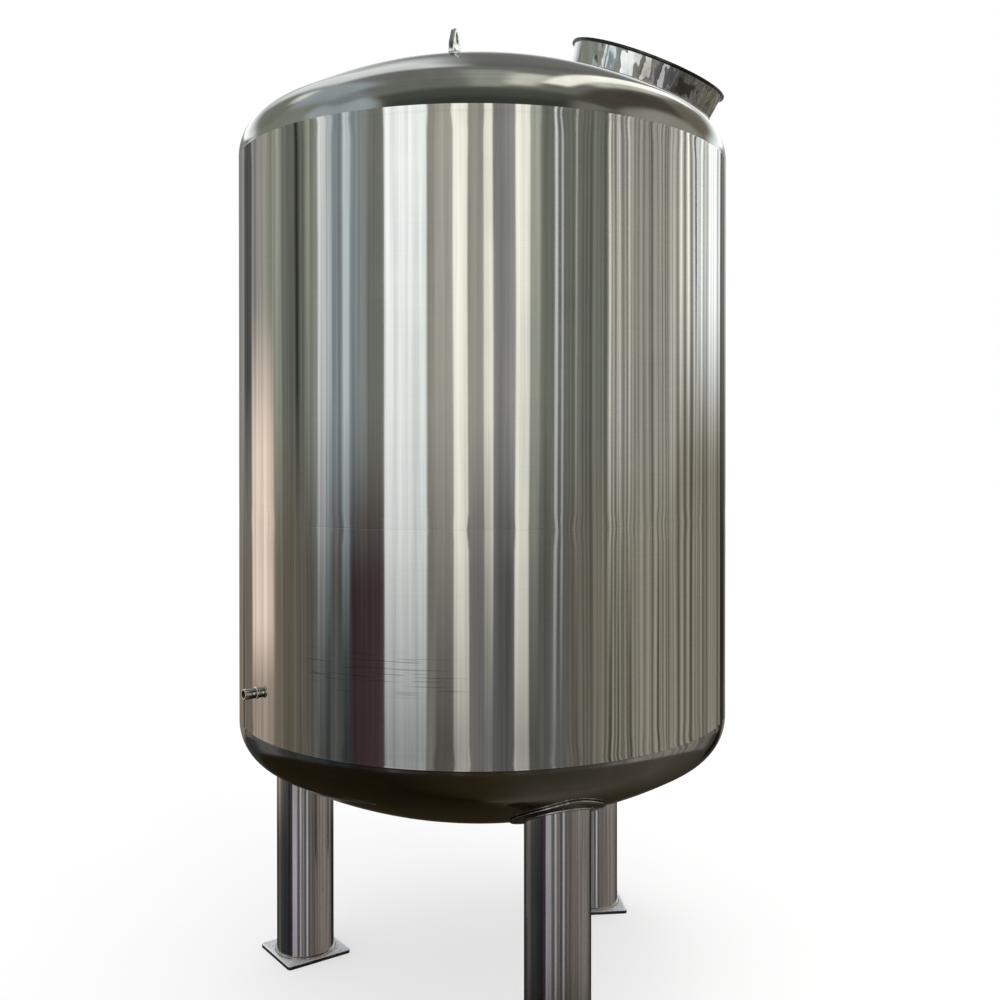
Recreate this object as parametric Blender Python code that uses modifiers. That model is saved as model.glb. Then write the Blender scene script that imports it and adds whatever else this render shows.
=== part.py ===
"""Vertical storage tank of stainless steel, standing on three pipe legs.

Metres, +Z up. The origin is on the tank's axis at floor level.
An azimuth is an angle round the axis, in degrees, from -Y towards +X.
"""

import math

import bmesh
import bpy
from mathutils import Matrix, Vector

# Tank body: two rolled courses between two dished heads
SHELL_RADIUS = 0.700
SHELL_WALL = 0.004
LOWER_TANGENT_Z = 0.760
TANGENT_LENGTH = 1.570
CROWN_RADIUS = 1.264
KNUCKLE_RADIUS = 0.123
STRAIGHT_FLANGE = 0.025
MIDDLE_SEAM_HEIGHT = 0.570
CROWN_SPANS = 5
KNUCKLE_SPANS = 5
BODY_STEPS = 64

# Butt welds between the plates of the body
WELD_WIDTH = 0.006
WELD_PROUD = 0.0004

# Clearance between two pieces that rest on each other
SEAT = 0.0003

# How far a piece starts behind the curved surface that trims it
TRIM_DEPTH = 0.060

# Manhole: a short, slightly flared neck square to the dome, with a thick lip
MANHOLE_TILT = 22.7
MANHOLE_AZIMUTH = 62.75
NECK_FOOT_RADIUS = 0.205
NECK_TOP_RADIUS = 0.213
NECK_WALL = 0.005
NECK_RISE = 0.0425
LIP_RADIUS = 0.221
LIP_HEIGHT = 0.008
LIP_ROUND = 0.0020
NECK_STEPS = 48

# Lifting lugs: a pair of upright plates in line with the axis
LUG_AZIMUTH = -12.5
LUG_MIDDLE_RADIUS = 0.354
LUG_WIDTH = 0.088
LUG_THICKNESS = 0.012
LUG_SHOULDER = 0.014
LUG_EYE_HEIGHT = 0.037
LUG_EYE_RADIUS = 0.0135
LUG_TOP_RADIUS = 0.0245
LUG_SUNK = 0.030
LUG_ARC_SPANS = 12
EYE_SPANS = 20

# Legs: pipes on square plates, under round pads welded to the lower head
LEG_AZIMUTHS = {"front": 19.4, "left": -100.6, "back": 139.4}
LEG_CIRCLE_RADIUS = 0.550
LEG_RADIUS = 0.08415
LEG_WALL = 0.004
LEG_STEPS = 32
PAD_RADIUS = 0.118
PAD_THICKNESS = 0.006
BASE_SIDE = 0.200
BASE_THICKNESS = 0.010
BASE_CORNER = 0.010
BASE_CORNER_SPANS = 3
FOOT_WELD = 0.006

# Level tapping: a welded stub, a union collar and an open pipe end
TAPPING_AZIMUTH = -53.5
TAPPING_HEIGHT = 0.137
TAPPING_RADIUS = 0.01345
TAPPING_BORE = 0.0100
TAPPING_STUB = 0.020
COLLAR_RADIUS = 0.0156
COLLAR_LENGTH = 0.0045
TAPPING_PIPE = 0.032
TAPPING_STEPS = 20

UPPER_TANGENT_Z = LOWER_TANGENT_Z + TANGENT_LENGTH
KNUCKLE_CENTRE = SHELL_RADIUS - KNUCKLE_RADIUS
CROWN_TO_KNUCKLE = CROWN_RADIUS - KNUCKLE_RADIUS
CROWN_ANGLE = math.asin(KNUCKLE_CENTRE / CROWN_TO_KNUCKLE)
CROWN_CENTRE_DROP = math.sqrt(CROWN_TO_KNUCKLE**2 - KNUCKLE_CENTRE**2)
PAD_OUTSIDE = SEAT + PAD_THICKNESS


def clear_scene():
    for obj in list(bpy.data.objects):
        bpy.data.objects.remove(obj, do_unlink=True)


def make_collection(name):
    collection = bpy.data.collections.new(name)
    bpy.context.scene.collection.children.link(collection)
    return collection


def make_material(name, colour, roughness, metallic):
    material = bpy.data.materials.new(name)
    material.use_nodes = True
    shader = material.node_tree.nodes["Principled BSDF"]
    shader.inputs["Base Color"].default_value = (*colour, 1.0)
    shader.inputs["Roughness"].default_value = roughness
    shader.inputs["Metallic"].default_value = metallic
    return material


def outward(azimuth):
    """The level unit vector that points away from the axis at this azimuth."""
    angle = math.radians(azimuth)
    return Vector((math.sin(angle), -math.cos(angle), 0.0))


def frame_along(axis, origin):
    """A frame at origin whose Z runs along axis."""
    turn = axis.normalized().to_track_quat("Z", "Y").to_matrix().to_4x4()
    return Matrix.Translation(origin) @ turn


def add_object(name, data, collection, material=None):
    obj = bpy.data.objects.new(name, data)
    collection.objects.link(obj)
    if material:
        data.materials.append(material)
    return obj


def turned(name, profile, steps, collection, material=None, closed=True):
    """A profile of (radius, height) points, turned once round the object's Z axis."""
    mesh = bpy.data.meshes.new(name)
    points = [(radius, 0.0, height) for radius, height in profile]
    edges = [(i, i + 1) for i in range(len(points) - 1)]
    if closed:
        edges.append((len(points) - 1, 0))
    mesh.from_pydata(points, edges, [])
    obj = add_object(name, mesh, collection, material)
    screw = obj.modifiers.new("turn", "SCREW")
    screw.axis = "Z"
    screw.angle = math.tau
    screw.steps = steps
    screw.render_steps = steps
    screw.use_merge_vertices = True
    screw.merge_threshold = 0.00005
    screw.use_smooth_shade = True
    return obj


def cut(obj, cutter, operation="DIFFERENCE"):
    boolean = obj.modifiers.new(operation.lower(), "BOOLEAN")
    boolean.operation = operation
    boolean.solver = "EXACT"
    boolean.object = cutter


def as_cutter(obj):
    obj.hide_render = True
    obj.display_type = "WIRE"
    return obj


def head_curve(offset):
    """Points of a dished head from its top to its tangent line, moved out by offset."""
    points = []
    for i in range(CROWN_SPANS + 1):
        angle = CROWN_ANGLE * i / CROWN_SPANS
        radius = (CROWN_RADIUS + offset) * math.sin(angle)
        height = (CROWN_RADIUS + offset) * math.cos(angle) - CROWN_CENTRE_DROP
        points.append((radius, height))
    for i in range(1, KNUCKLE_SPANS + 1):
        angle = CROWN_ANGLE + (math.pi / 2 - CROWN_ANGLE) * i / KNUCKLE_SPANS
        radius = KNUCKLE_CENTRE + (KNUCKLE_RADIUS + offset) * math.sin(angle)
        height = (KNUCKLE_RADIUS + offset) * math.cos(angle)
        points.append((radius, height))
    points[0] = (0.0, points[0][1])
    return points


def head_profile():
    """The closed section of a head with its straight flange, tangent line at zero."""
    outside = head_curve(0.0)
    inside = head_curve(-SHELL_WALL)
    flange_end = -STRAIGHT_FLANGE + WELD_WIDTH / 2
    flange = [(SHELL_RADIUS, flange_end), (SHELL_RADIUS - SHELL_WALL, flange_end)]
    return outside + flange + inside[::-1]


def turned_over(profile):
    """The same profile upside down, still running down its outer side."""
    return [(radius, -height) for radius, height in profile[::-1]]


def make_head(name, tangent_z, upright, collection, material):
    profile = head_profile()
    if not upright:
        profile = turned_over(profile)
    head = turned(name, profile, BODY_STEPS, collection, material, closed=False)
    head.location.z = tangent_z
    return head


def head_block(name, offset, tangent_z, upright, depth, collection):
    """A solid with the outside of a head moved out by offset, used as a cutter."""
    profile = head_curve(offset) + [(SHELL_RADIUS + offset, -depth), (0.0, -depth)]
    if not upright:
        profile = turned_over(profile)
    block = turned(name, profile, BODY_STEPS, collection, closed=False)
    block.location.z = tangent_z
    return as_cutter(block)


def ring_profile(outer, inner, low, high):
    return [(outer, high), (outer, low), (inner, low), (inner, high)]


def rounded_ring_profile(outer, inner, low, high, bevel):
    """A ring's section with its four corners cut at 45 degrees."""
    return [
        (outer - bevel, high),
        (outer, high - bevel),
        (outer, low + bevel),
        (outer - bevel, low),
        (inner + bevel, low),
        (inner, low + bevel),
        (inner, high - bevel),
        (inner + bevel, high),
    ]


def make_course(name, low, high, collection, material):
    """One rolled course of the shell between two butt welds."""
    half_weld = WELD_WIDTH / 2
    inner = SHELL_RADIUS - SHELL_WALL
    profile = ring_profile(SHELL_RADIUS, inner, low + half_weld, high - half_weld)
    return turned(name, profile, BODY_STEPS, collection, material)


def make_butt_weld(name, height, collection, material):
    """A weld ring that fills the joint and stands slightly proud on both faces."""
    reach = WELD_WIDTH / 2 - SEAT
    inner = SHELL_RADIUS - SHELL_WALL
    profile = [
        (SHELL_RADIUS, height + reach),
        (SHELL_RADIUS + WELD_PROUD, height),
        (SHELL_RADIUS, height - reach),
        (inner, height - reach),
        (inner - WELD_PROUD, height),
        (inner, height + reach),
    ]
    return turned(name, profile, BODY_STEPS, collection, material)


def make_body(parts, steel, weld):
    lower_seam = LOWER_TANGENT_Z + STRAIGHT_FLANGE
    middle_seam = LOWER_TANGENT_Z + MIDDLE_SEAM_HEIGHT
    upper_seam = UPPER_TANGENT_Z - STRAIGHT_FLANGE
    make_head("bottom_head", LOWER_TANGENT_Z, False, parts, steel)
    make_course("shell_lower_course", lower_seam, middle_seam, parts, steel)
    make_course("shell_upper_course", middle_seam, upper_seam, parts, steel)
    make_butt_weld("weld_lower", lower_seam, parts, weld)
    make_butt_weld("weld_middle", middle_seam, parts, weld)
    make_butt_weld("weld_upper", upper_seam, parts, weld)
    return make_head("top_head", UPPER_TANGENT_Z, True, parts, steel)


def manhole_frame():
    """The manhole's frame: Z is its axis, the origin is the centre of the dome's curve."""
    tilt = math.radians(MANHOLE_TILT)
    axis = outward(MANHOLE_AZIMUTH) * math.sin(tilt)
    axis.z = math.cos(tilt)
    centre = Vector((0.0, 0.0, UPPER_TANGENT_Z - CROWN_CENTRE_DROP))
    return frame_along(axis, centre)


def make_manhole(parts, cutters, top_head, dome, steel, lip_steel):
    place = manhole_frame()
    neck_top = CROWN_RADIUS + NECK_RISE
    neck_foot = math.sqrt(CROWN_RADIUS**2 - NECK_FOOT_RADIUS**2)
    flare = (NECK_TOP_RADIUS - NECK_FOOT_RADIUS) / (neck_top - neck_foot)
    neck_sunk = CROWN_RADIUS - TRIM_DEPTH
    sunk_radius = NECK_FOOT_RADIUS - flare * (neck_foot - neck_sunk)
    neck_bore = NECK_TOP_RADIUS - NECK_WALL
    neck_profile = [
        (NECK_TOP_RADIUS, neck_top),
        (sunk_radius, neck_sunk),
        (sunk_radius - NECK_WALL, neck_sunk),
        (neck_bore, neck_top),
    ]
    neck = turned("manhole_neck", neck_profile, NECK_STEPS, parts, steel)
    neck.matrix_world = place
    cut(neck, dome)
    lip_low = neck_top + SEAT
    lip_high = lip_low + LIP_HEIGHT
    lip_profile = rounded_ring_profile(LIP_RADIUS, neck_bore, lip_low, lip_high, LIP_ROUND)
    lip = turned("manhole_lip", lip_profile, NECK_STEPS, parts, lip_steel)
    lip.matrix_world = place
    hole = NECK_FOOT_RADIUS - NECK_WALL
    hole_low = CROWN_RADIUS - 2 * TRIM_DEPTH
    hole_profile = [(0.0, neck_top), (hole, neck_top), (hole, hole_low), (0.0, hole_low)]
    cutter = turned("manhole_opening", hole_profile, NECK_STEPS, cutters, closed=False)
    cutter.matrix_world = place
    cut(top_head, as_cutter(cutter))


def lug_outline():
    """The lug's outline: a base, two tapering sides and a round top about the eye."""
    half = LUG_WIDTH / 2
    rise = LUG_SHOULDER - LUG_EYE_HEIGHT
    distance = math.hypot(half, rise)
    start = math.atan2(rise, half) + math.acos(LUG_TOP_RADIUS / distance)
    points = [(-half, LUG_SHOULDER), (-half, -LUG_SUNK)]
    points += [(half, -LUG_SUNK), (half, LUG_SHOULDER)]
    for i in range(LUG_ARC_SPANS + 1):
        angle = start + (math.pi - 2 * start) * i / LUG_ARC_SPANS
        across = LUG_TOP_RADIUS * math.cos(angle)
        up = LUG_EYE_HEIGHT + LUG_TOP_RADIUS * math.sin(angle)
        points.append((across, up))
    return points


def eye_outline():
    points = []
    for i in range(EYE_SPANS):
        angle = math.tau * i / EYE_SPANS
        across = LUG_EYE_RADIUS * math.cos(angle)
        points.append((across, LUG_EYE_HEIGHT + LUG_EYE_RADIUS * math.sin(angle)))
    return points


def add_polygon(curve, outline):
    spline = curve.splines.new("POLY")
    spline.points.add(len(outline) - 1)
    for point, (across, up) in zip(spline.points, outline):
        point.co = (across, up, 0.0, 1.0)
    spline.use_cyclic_u = True


def plate_mesh(name, outlines, thickness):
    """A flat plate with these outlines, as one welded mesh."""
    curve = bpy.data.curves.new(name, "CURVE")
    curve.dimensions = "2D"
    curve.fill_mode = "BOTH"
    curve.extrude = thickness / 2
    for outline in outlines:
        add_polygon(curve, outline)
    guide = bpy.data.objects.new(name + "_outline", curve)
    bpy.context.scene.collection.objects.link(guide)
    graph = bpy.context.evaluated_depsgraph_get()
    mesh = bpy.data.meshes.new_from_object(guide.evaluated_get(graph))
    bpy.data.objects.remove(guide, do_unlink=True)
    work = bmesh.new()
    work.from_mesh(mesh)
    bmesh.ops.remove_doubles(work, verts=work.verts, dist=0.00005)
    work.to_mesh(mesh)
    work.free()
    return mesh


def make_lug(name, azimuth, mesh, parts, dome):
    """One lug, upright in the plane through the axis, with its foot on the dome."""
    away = outward(azimuth)
    climb = math.sqrt(CROWN_RADIUS**2 - LUG_MIDDLE_RADIUS**2) - CROWN_CENTRE_DROP
    foot = away * LUG_MIDDLE_RADIUS
    foot.z = UPPER_TANGENT_Z + climb
    up = Vector((0.0, 0.0, 1.0))
    side = away.cross(up)
    turn = Matrix((away, up, side)).transposed().to_4x4()
    lug = bpy.data.objects.new(name, mesh)
    parts.objects.link(lug)
    lug.matrix_world = Matrix.Translation(foot) @ turn
    cut(lug, dome)


def make_lugs(parts, dome, steel):
    mesh = plate_mesh("lifting_lug", [lug_outline(), eye_outline()], LUG_THICKNESS)
    mesh.materials.append(steel)
    make_lug("lifting_lug_front", LUG_AZIMUTH, mesh, parts, dome)
    make_lug("lifting_lug_back", LUG_AZIMUTH + 180.0, mesh, parts, dome)


def make_base_plate(name, place, parts, steel):
    mesh = bpy.data.meshes.new(name)
    work = bmesh.new()
    bmesh.ops.create_cube(work, size=1.0)
    bmesh.ops.scale(work, vec=(BASE_SIDE, BASE_SIDE, BASE_THICKNESS), verts=work.verts)
    bmesh.ops.translate(work, vec=(0.0, 0.0, BASE_THICKNESS / 2), verts=work.verts)
    upright = []
    for edge in work.edges:
        along = edge.verts[0].co - edge.verts[1].co
        if abs(along.z) > BASE_THICKNESS / 2:
            upright.append(edge)
    bmesh.ops.bevel(
        work,
        geom=upright,
        offset=BASE_CORNER,
        segments=BASE_CORNER_SPANS,
        profile=0.5,
        affect="EDGES",
    )
    work.to_mesh(mesh)
    work.free()
    plate = add_object(name, mesh, parts, steel)
    plate.matrix_world = place


def make_pad(name, place, parts, steel, pad_outer, pad_inner):
    """A round pad that follows the lower head between two offsets of its surface."""
    low = -UPPER_TANGENT_Z
    profile = [(0.0, 0.0), (PAD_RADIUS, 0.0), (PAD_RADIUS, low), (0.0, low)]
    pad = turned(name, profile, LEG_STEPS, parts, steel, closed=False)
    pad.matrix_world = place @ Matrix.Translation((0.0, 0.0, LOWER_TANGENT_Z))
    cut(pad, pad_outer, "INTERSECT")
    cut(pad, pad_inner)


def make_leg(side, azimuth, parts, steel, plate_steel, weld, blocks):
    turn = Matrix.Rotation(math.radians(azimuth + 45.0), 4, "Z")
    place = Matrix.Translation(outward(azimuth) * LEG_CIRCLE_RADIUS) @ turn
    pad_outer, pad_inner, leg_block = blocks
    make_base_plate("base_plate_" + side, place, parts, plate_steel)
    make_pad("leg_pad_" + side, place, parts, steel, pad_outer, pad_inner)
    foot_z = BASE_THICKNESS + SEAT
    pipe_profile = ring_profile(LEG_RADIUS, LEG_RADIUS - LEG_WALL, foot_z, LOWER_TANGENT_Z)
    pipe = turned("leg_pipe_" + side, pipe_profile, LEG_STEPS, parts, steel)
    pipe.matrix_world = place
    cut(pipe, leg_block)
    inside = LEG_RADIUS + SEAT
    fillet = [(inside, foot_z + FOOT_WELD), (inside + FOOT_WELD, foot_z), (inside, foot_z)]
    foot_weld = turned("foot_weld_" + side, fillet, LEG_STEPS, parts, weld)
    foot_weld.matrix_world = place


def make_legs(parts, cutters, steel, plate_steel, weld):
    bottom = (LOWER_TANGENT_Z, False, TRIM_DEPTH, cutters)
    blocks = (
        head_block("pad_outside", PAD_OUTSIDE, *bottom),
        head_block("pad_inside", SEAT, *bottom),
        head_block("leg_top", PAD_OUTSIDE + SEAT, *bottom),
    )
    for side, azimuth in LEG_AZIMUTHS.items():
        make_leg(side, azimuth, parts, steel, plate_steel, weld, blocks)


def make_tapping(parts, cutters, steel):
    away = outward(TAPPING_AZIMUTH)
    centre = Vector((0.0, 0.0, LOWER_TANGENT_Z + TAPPING_HEIGHT))
    place = frame_along(away, centre)
    stub_end = SHELL_RADIUS + TAPPING_STUB
    stub_sunk = SHELL_RADIUS - TAPPING_RADIUS
    stub_profile = ring_profile(TAPPING_RADIUS, TAPPING_BORE, stub_sunk, stub_end)
    stub = turned("level_tapping_stub", stub_profile, TAPPING_STEPS, parts, steel)
    stub.matrix_world = place
    high = LOWER_TANGENT_Z + MIDDLE_SEAM_HEIGHT
    outside = SHELL_RADIUS + SEAT
    barrel = [(0.0, high), (outside, high), (outside, LOWER_TANGENT_Z), (0.0, LOWER_TANGENT_Z)]
    shell_block = turned("shell_outside", barrel, BODY_STEPS, cutters, closed=False)
    cut(stub, as_cutter(shell_block))
    collar_start = stub_end + SEAT
    collar_end = collar_start + COLLAR_LENGTH
    collar_profile = ring_profile(COLLAR_RADIUS, TAPPING_BORE, collar_start, collar_end)
    collar = turned("level_tapping_collar", collar_profile, TAPPING_STEPS, parts, steel)
    collar.matrix_world = place
    pipe_start = collar_end + SEAT
    pipe_end = pipe_start + TAPPING_PIPE
    pipe_profile = ring_profile(TAPPING_RADIUS, TAPPING_BORE, pipe_start, pipe_end)
    pipe = turned("level_tapping_pipe", pipe_profile, TAPPING_STEPS, parts, steel)
    pipe.matrix_world = place


def main():
    clear_scene()
    parts = make_collection("vertical_storage_tank")
    cutters = make_collection("cutters")
    steel = make_material("polished_stainless", (0.52, 0.51, 0.48), 0.16, 1.0)
    leg_steel = make_material("drawn_stainless_pipe", (0.40, 0.39, 0.37), 0.24, 1.0)
    plate_steel = make_material("mill_finish_plate", (0.60, 0.60, 0.59), 0.38, 1.0)
    lip_steel = make_material("dark_stainless_lip", (0.12, 0.12, 0.12), 0.30, 1.0)
    weld = make_material("dressed_weld", (0.58, 0.57, 0.55), 0.34, 1.0)
    top_head = make_body(parts, steel, weld)
    dome = head_block("dome_outside", SEAT, UPPER_TANGENT_Z, True, TRIM_DEPTH, cutters)
    make_manhole(parts, cutters, top_head, dome, steel, lip_steel)
    make_lugs(parts, dome, steel)
    make_legs(parts, cutters, leg_steel, plate_steel, weld)
    make_tapping(parts, cutters, steel)


main()
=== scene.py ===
"""Looks for the vertical storage tank: polished plates, dressed welds, pipe legs and studio.

Metres, +Z up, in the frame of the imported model. An azimuth is an angle in degrees
round the tank's axis, from -Y towards +X.
"""

from math import acos, asin, atan2, cos, exp, hypot, pi, radians, sin, sqrt, tau

import bmesh
import bpy
from mathutils import Matrix, Vector


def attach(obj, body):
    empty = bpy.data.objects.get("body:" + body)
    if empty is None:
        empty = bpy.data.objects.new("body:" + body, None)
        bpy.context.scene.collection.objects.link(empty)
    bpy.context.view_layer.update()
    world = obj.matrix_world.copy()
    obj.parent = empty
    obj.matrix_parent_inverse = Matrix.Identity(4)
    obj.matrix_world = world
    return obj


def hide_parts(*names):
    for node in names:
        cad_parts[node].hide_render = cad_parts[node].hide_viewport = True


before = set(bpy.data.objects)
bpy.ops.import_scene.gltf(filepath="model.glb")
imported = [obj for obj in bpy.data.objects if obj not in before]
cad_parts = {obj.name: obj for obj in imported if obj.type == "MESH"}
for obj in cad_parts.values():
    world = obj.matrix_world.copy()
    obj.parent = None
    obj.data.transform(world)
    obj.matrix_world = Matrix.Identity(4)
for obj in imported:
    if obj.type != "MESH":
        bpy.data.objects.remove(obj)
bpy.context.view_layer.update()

# Tank body
SHELL_RADIUS = 0.700
SHELL_WALL = 0.004
LOWER_TANGENT = 0.760
UPPER_TANGENT = 2.330
MIDDLE_SEAM = 1.330
STRAIGHT_FLANGE = 0.025
CROWN_RADIUS = 1.264
KNUCKLE_RADIUS = 0.123
KNUCKLE_CENTRE = SHELL_RADIUS - KNUCKLE_RADIUS
CROWN_ANGLE = asin(KNUCKLE_CENTRE / (CROWN_RADIUS - KNUCKLE_RADIUS))
CROWN_DROP = (CROWN_RADIUS - KNUCKLE_RADIUS) * cos(CROWN_ANGLE)
BODY_STEPS = 256
CROWN_SPANS = 26
KNUCKLE_SPANS = 14
ROW_HEIGHT = 0.040
WELD_HALF = 0.003
SEAT = 0.0003

# Slow waves left in the plates by rolling and welding: size, waves round, phase, drift of
# the phase, and how fast it drifts with height
PLATE_WAVES = (
    (0.00030, 5, 1.1, 0.9, 1.7),
    (0.00016, 9, -0.7, 1.3, 2.3),
    (0.00008, 17, 2.0, 1.1, 3.1),
    (0.00004, 31, 0.4, 1.6, 2.6),
)
# Sharper waves left beside each ring weld: size, waves round, phase
WELD_WAVES = ((0.00010, 19, 0.6), (0.00007, 33, 2.1), (0.00004, 51, 4.0))
WELD_WAVE_REACH = 0.022
WELD_WAVE_TURN = 40.0
WELD_PULL = 0.00022
WELD_PULL_REACH = 0.030
# Everything is drawn in by this much, so that no wave stands outside the plate's true curve
DRAWN_IN = 0.0006
# Each head starts to lean in this far inside its tangent line, at a crease with a polished
# ring: the ring's rise and half width, the rows of points over it and at the crease, and
# how far the surface turns there
LEAN = 0.0088
RING_RISE = 0.00006
RING_HALF = 0.0024
RING_ROWS = 4
CREASE_ROW = 0.00015
KNUCKLE_CREASE = radians(6.0)
# Fine line left along the middle of the dressed seam
GROOVE_DEPTH = 0.00003
GROOVE_HALF = 0.0010
# Share above which a face counts as part of the plate's broad sides
BROAD_FACE = 0.7

# Ring welds, the courses between them, and each course's upright seam, staggered round
# the back: azimuth, low end, high end
SEAMS = {
    "weld_lower": LOWER_TANGENT + STRAIGHT_FLANGE,
    "weld_middle": MIDDLE_SEAM,
    "weld_upper": UPPER_TANGENT - STRAIGHT_FLANGE,
}
COURSES = {
    "shell_lower_course": ("weld_lower", "weld_middle"),
    "shell_upper_course": ("weld_middle", "weld_upper"),
}
LONG_SEAMS = {
    "long_seam_lower": (168.0, 0.790, 1.325),
    "long_seam_upper": (128.0, 1.335, 2.300),
}
LONG_SEAM_WIDTH = 0.006
LONG_SEAM_RISE = 0.0010
LONG_SEAM_SINK = 0.0002
# Rows of points across a ring weld, as shares of its half width
SEAM_ROWS = (1.0, 0.6, 0.25, 0.1, 0.0, -0.1, -0.25, -0.6, -1.0)

# Polish: depth of the brush lines, and scales of the slow ripple and of a head's rings
BRUSH_DEPTH = 0.000003
SLOW_RIPPLE = (7.0, 7.0, 0.9)
RINGS_PER_METRE = 420.0
# Band of handling scuffs on the lower course, with their scale per degree and per metre
SCUFF_HEIGHTS = (0.930, 1.048)
SCUFF_AZIMUTHS = (-42.0, -2.0)
SCUFF_SCALES = (0.10, 230.0)
SCUFF_SHADE = 0.50

# Manhole
MANHOLE_TILT = 22.7
MANHOLE_AZIMUTH = 62.75
NECK_FOOT_RADIUS = 0.205
NECK_TOP_RADIUS = 0.213
NECK_WALL = 0.005
NECK_RISE = 0.0425
LIP_RADIUS = 0.221
LIP_HEIGHT = 0.0079
LIP_ROUND = 0.0022
NECK_STEPS = 160
NECK_SPANS = 12
NECK_WELD = 0.0040
NECK_WELD_OUT = 0.0006
NECK_WELD_POINTS = 240
NECK_TOP = CROWN_RADIUS + NECK_RISE
NECK_FOOT = sqrt(CROWN_RADIUS**2 - NECK_FOOT_RADIUS**2)
NECK_FLARE = (NECK_TOP_RADIUS - NECK_FOOT_RADIUS) / (NECK_TOP - NECK_FOOT)
FOOT_SINK = 0.001
HOLE_BOTTOM = CROWN_RADIUS - 0.120
HALVINGS = 40
# Painted shade on the neck's low side: where along X it starts, and how strong it is
NECK_SHADE_SPAN = (0.44, 0.56)
NECK_PAINTED_SHADE = 0.80
NECK_DENTS = (24.0, 24.0, 12.0)
NECK_DENT_DEPTH = 0.0030

# Lifting lugs
LUG_AZIMUTH = -12.5
LUG_MIDDLE_RADIUS = 0.354
LUG_WIDTH = 0.088
LUG_THICKNESS = 0.012
LUG_SHOULDER = 0.014
LUG_EYE_HEIGHT = 0.037
LUG_EYE_RADIUS = 0.0135
LUG_TOP_RADIUS = 0.0245
LUG_EDGE = 0.0012
LUG_SINK = 0.0015
LUG_FOOT_SPANS = 8
LUG_TOP_SPANS = 28
LUG_EYE_STEPS = 40
LUG_WELD = 0.0042
LUG_WELD_SPANS = {"broad": 24, "thin": 5}

# Legs
LEG_AZIMUTHS = {"front": 19.4, "left": -100.6, "back": 139.4}
LEG_CIRCLE_RADIUS = 0.550
LEG_RADIUS = 0.08415
LEG_WALL = 0.004
LEG_STEPS = 96
# Top of a leg's pipe before its rim is raised to the pad, and how near that top counts as it
LEG_TOP = LOWER_TANGENT - 0.08
LEG_TOP_REACH = 0.001
PAD_RADIUS = 0.118
PAD_THICKNESS = 0.006
PAD_EDGE = 0.0015
PAD_EDGE_SPANS = 4
BASE_SIDE = 0.200
BASE_THICKNESS = 0.010
BASE_CORNER = 0.010
BASE_EDGE = 0.0012
PAD_WELD = 0.0046
PAD_WELD_DROP = 0.003
TOP_WELD = 0.0058
FOOT_WELD = 0.0095
FOOT_WELD_OUT = 0.001
LEG_WELD_POINTS = 160

# Level tapping
TAPPING_AZIMUTH = -53.5
TAPPING_HEIGHT = 0.137
TAPPING_RADIUS = 0.01345
TAPPING_BORE = 0.0100
TAPPING_BORE_REACH = 0.0003
TAPPING_STUB = 0.020
TAPPING_SINK = 0.0015
COLLAR_RADIUS = 0.0156
COLLAR_LENGTH = 0.0045
TAPPING_PIPE = 0.032
TAPPING_STEPS = 48
TAPPING_WELD = 0.0045
TAPPING_WELD_POINTS = 60

# Building: points closer than this are one, angles in radians below which an edge is flat
# and above which it is sharp, and the lean below which a base plate's face is a side
SAME_PLACE = 0.00005
FLAT_EDGE = 0.01
SHARP_EDGE = 1.0
SIDE_FACE = 0.6

# Sweeps: room between the guide circle and a section, reach of the joining of its ends,
# and how far a weld run's size drifts
GUIDE_CLEARANCE = 0.05
MERGE_REACH = 0.00002
RUN_DRIFT = 0.35

# Camera, found by fitting the tank's outline
CAMERA_PLACE = (0.0, -3.3156, 1.5357)
CAMERA_YAW = 2.076
CAMERA_PITCH = -0.406
CAMERA_LENS = 40.52
CAMERA_SENSOR = 36.0
CAMERA_SHIFT = (-0.025, -0.050)


def outward(azimuth):
    """The level direction that points out at this azimuth."""
    angle = radians(azimuth)
    return Vector((sin(angle), -cos(angle), 0.0))


def facing(way, height):
    """A place on the tank's axis at this height, with its own Z turned along way."""
    turn = way.to_track_quat("Z", "Y").to_matrix().to_4x4()
    return Matrix.Translation((0.0, 0.0, height)) @ turn


def polar(radius, angle):
    return radius * cos(angle), radius * sin(angle)


def circle(count, radius):
    """Points (across, up) evenly round a circle."""
    return [polar(radius, tau * i / count) for i in range(count)]


def head_height(radius, offset=0.0):
    """Height above the tangent line of the head's outside moved out by offset."""
    crown = CROWN_RADIUS + offset
    if radius <= crown * sin(CROWN_ANGLE):
        return sqrt(crown**2 - radius**2) - CROWN_DROP
    knuckle = KNUCKLE_RADIUS + offset
    return sqrt(max(knuckle**2 - (radius - KNUCKLE_CENTRE) ** 2, 0.0))


# Node trees

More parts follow.
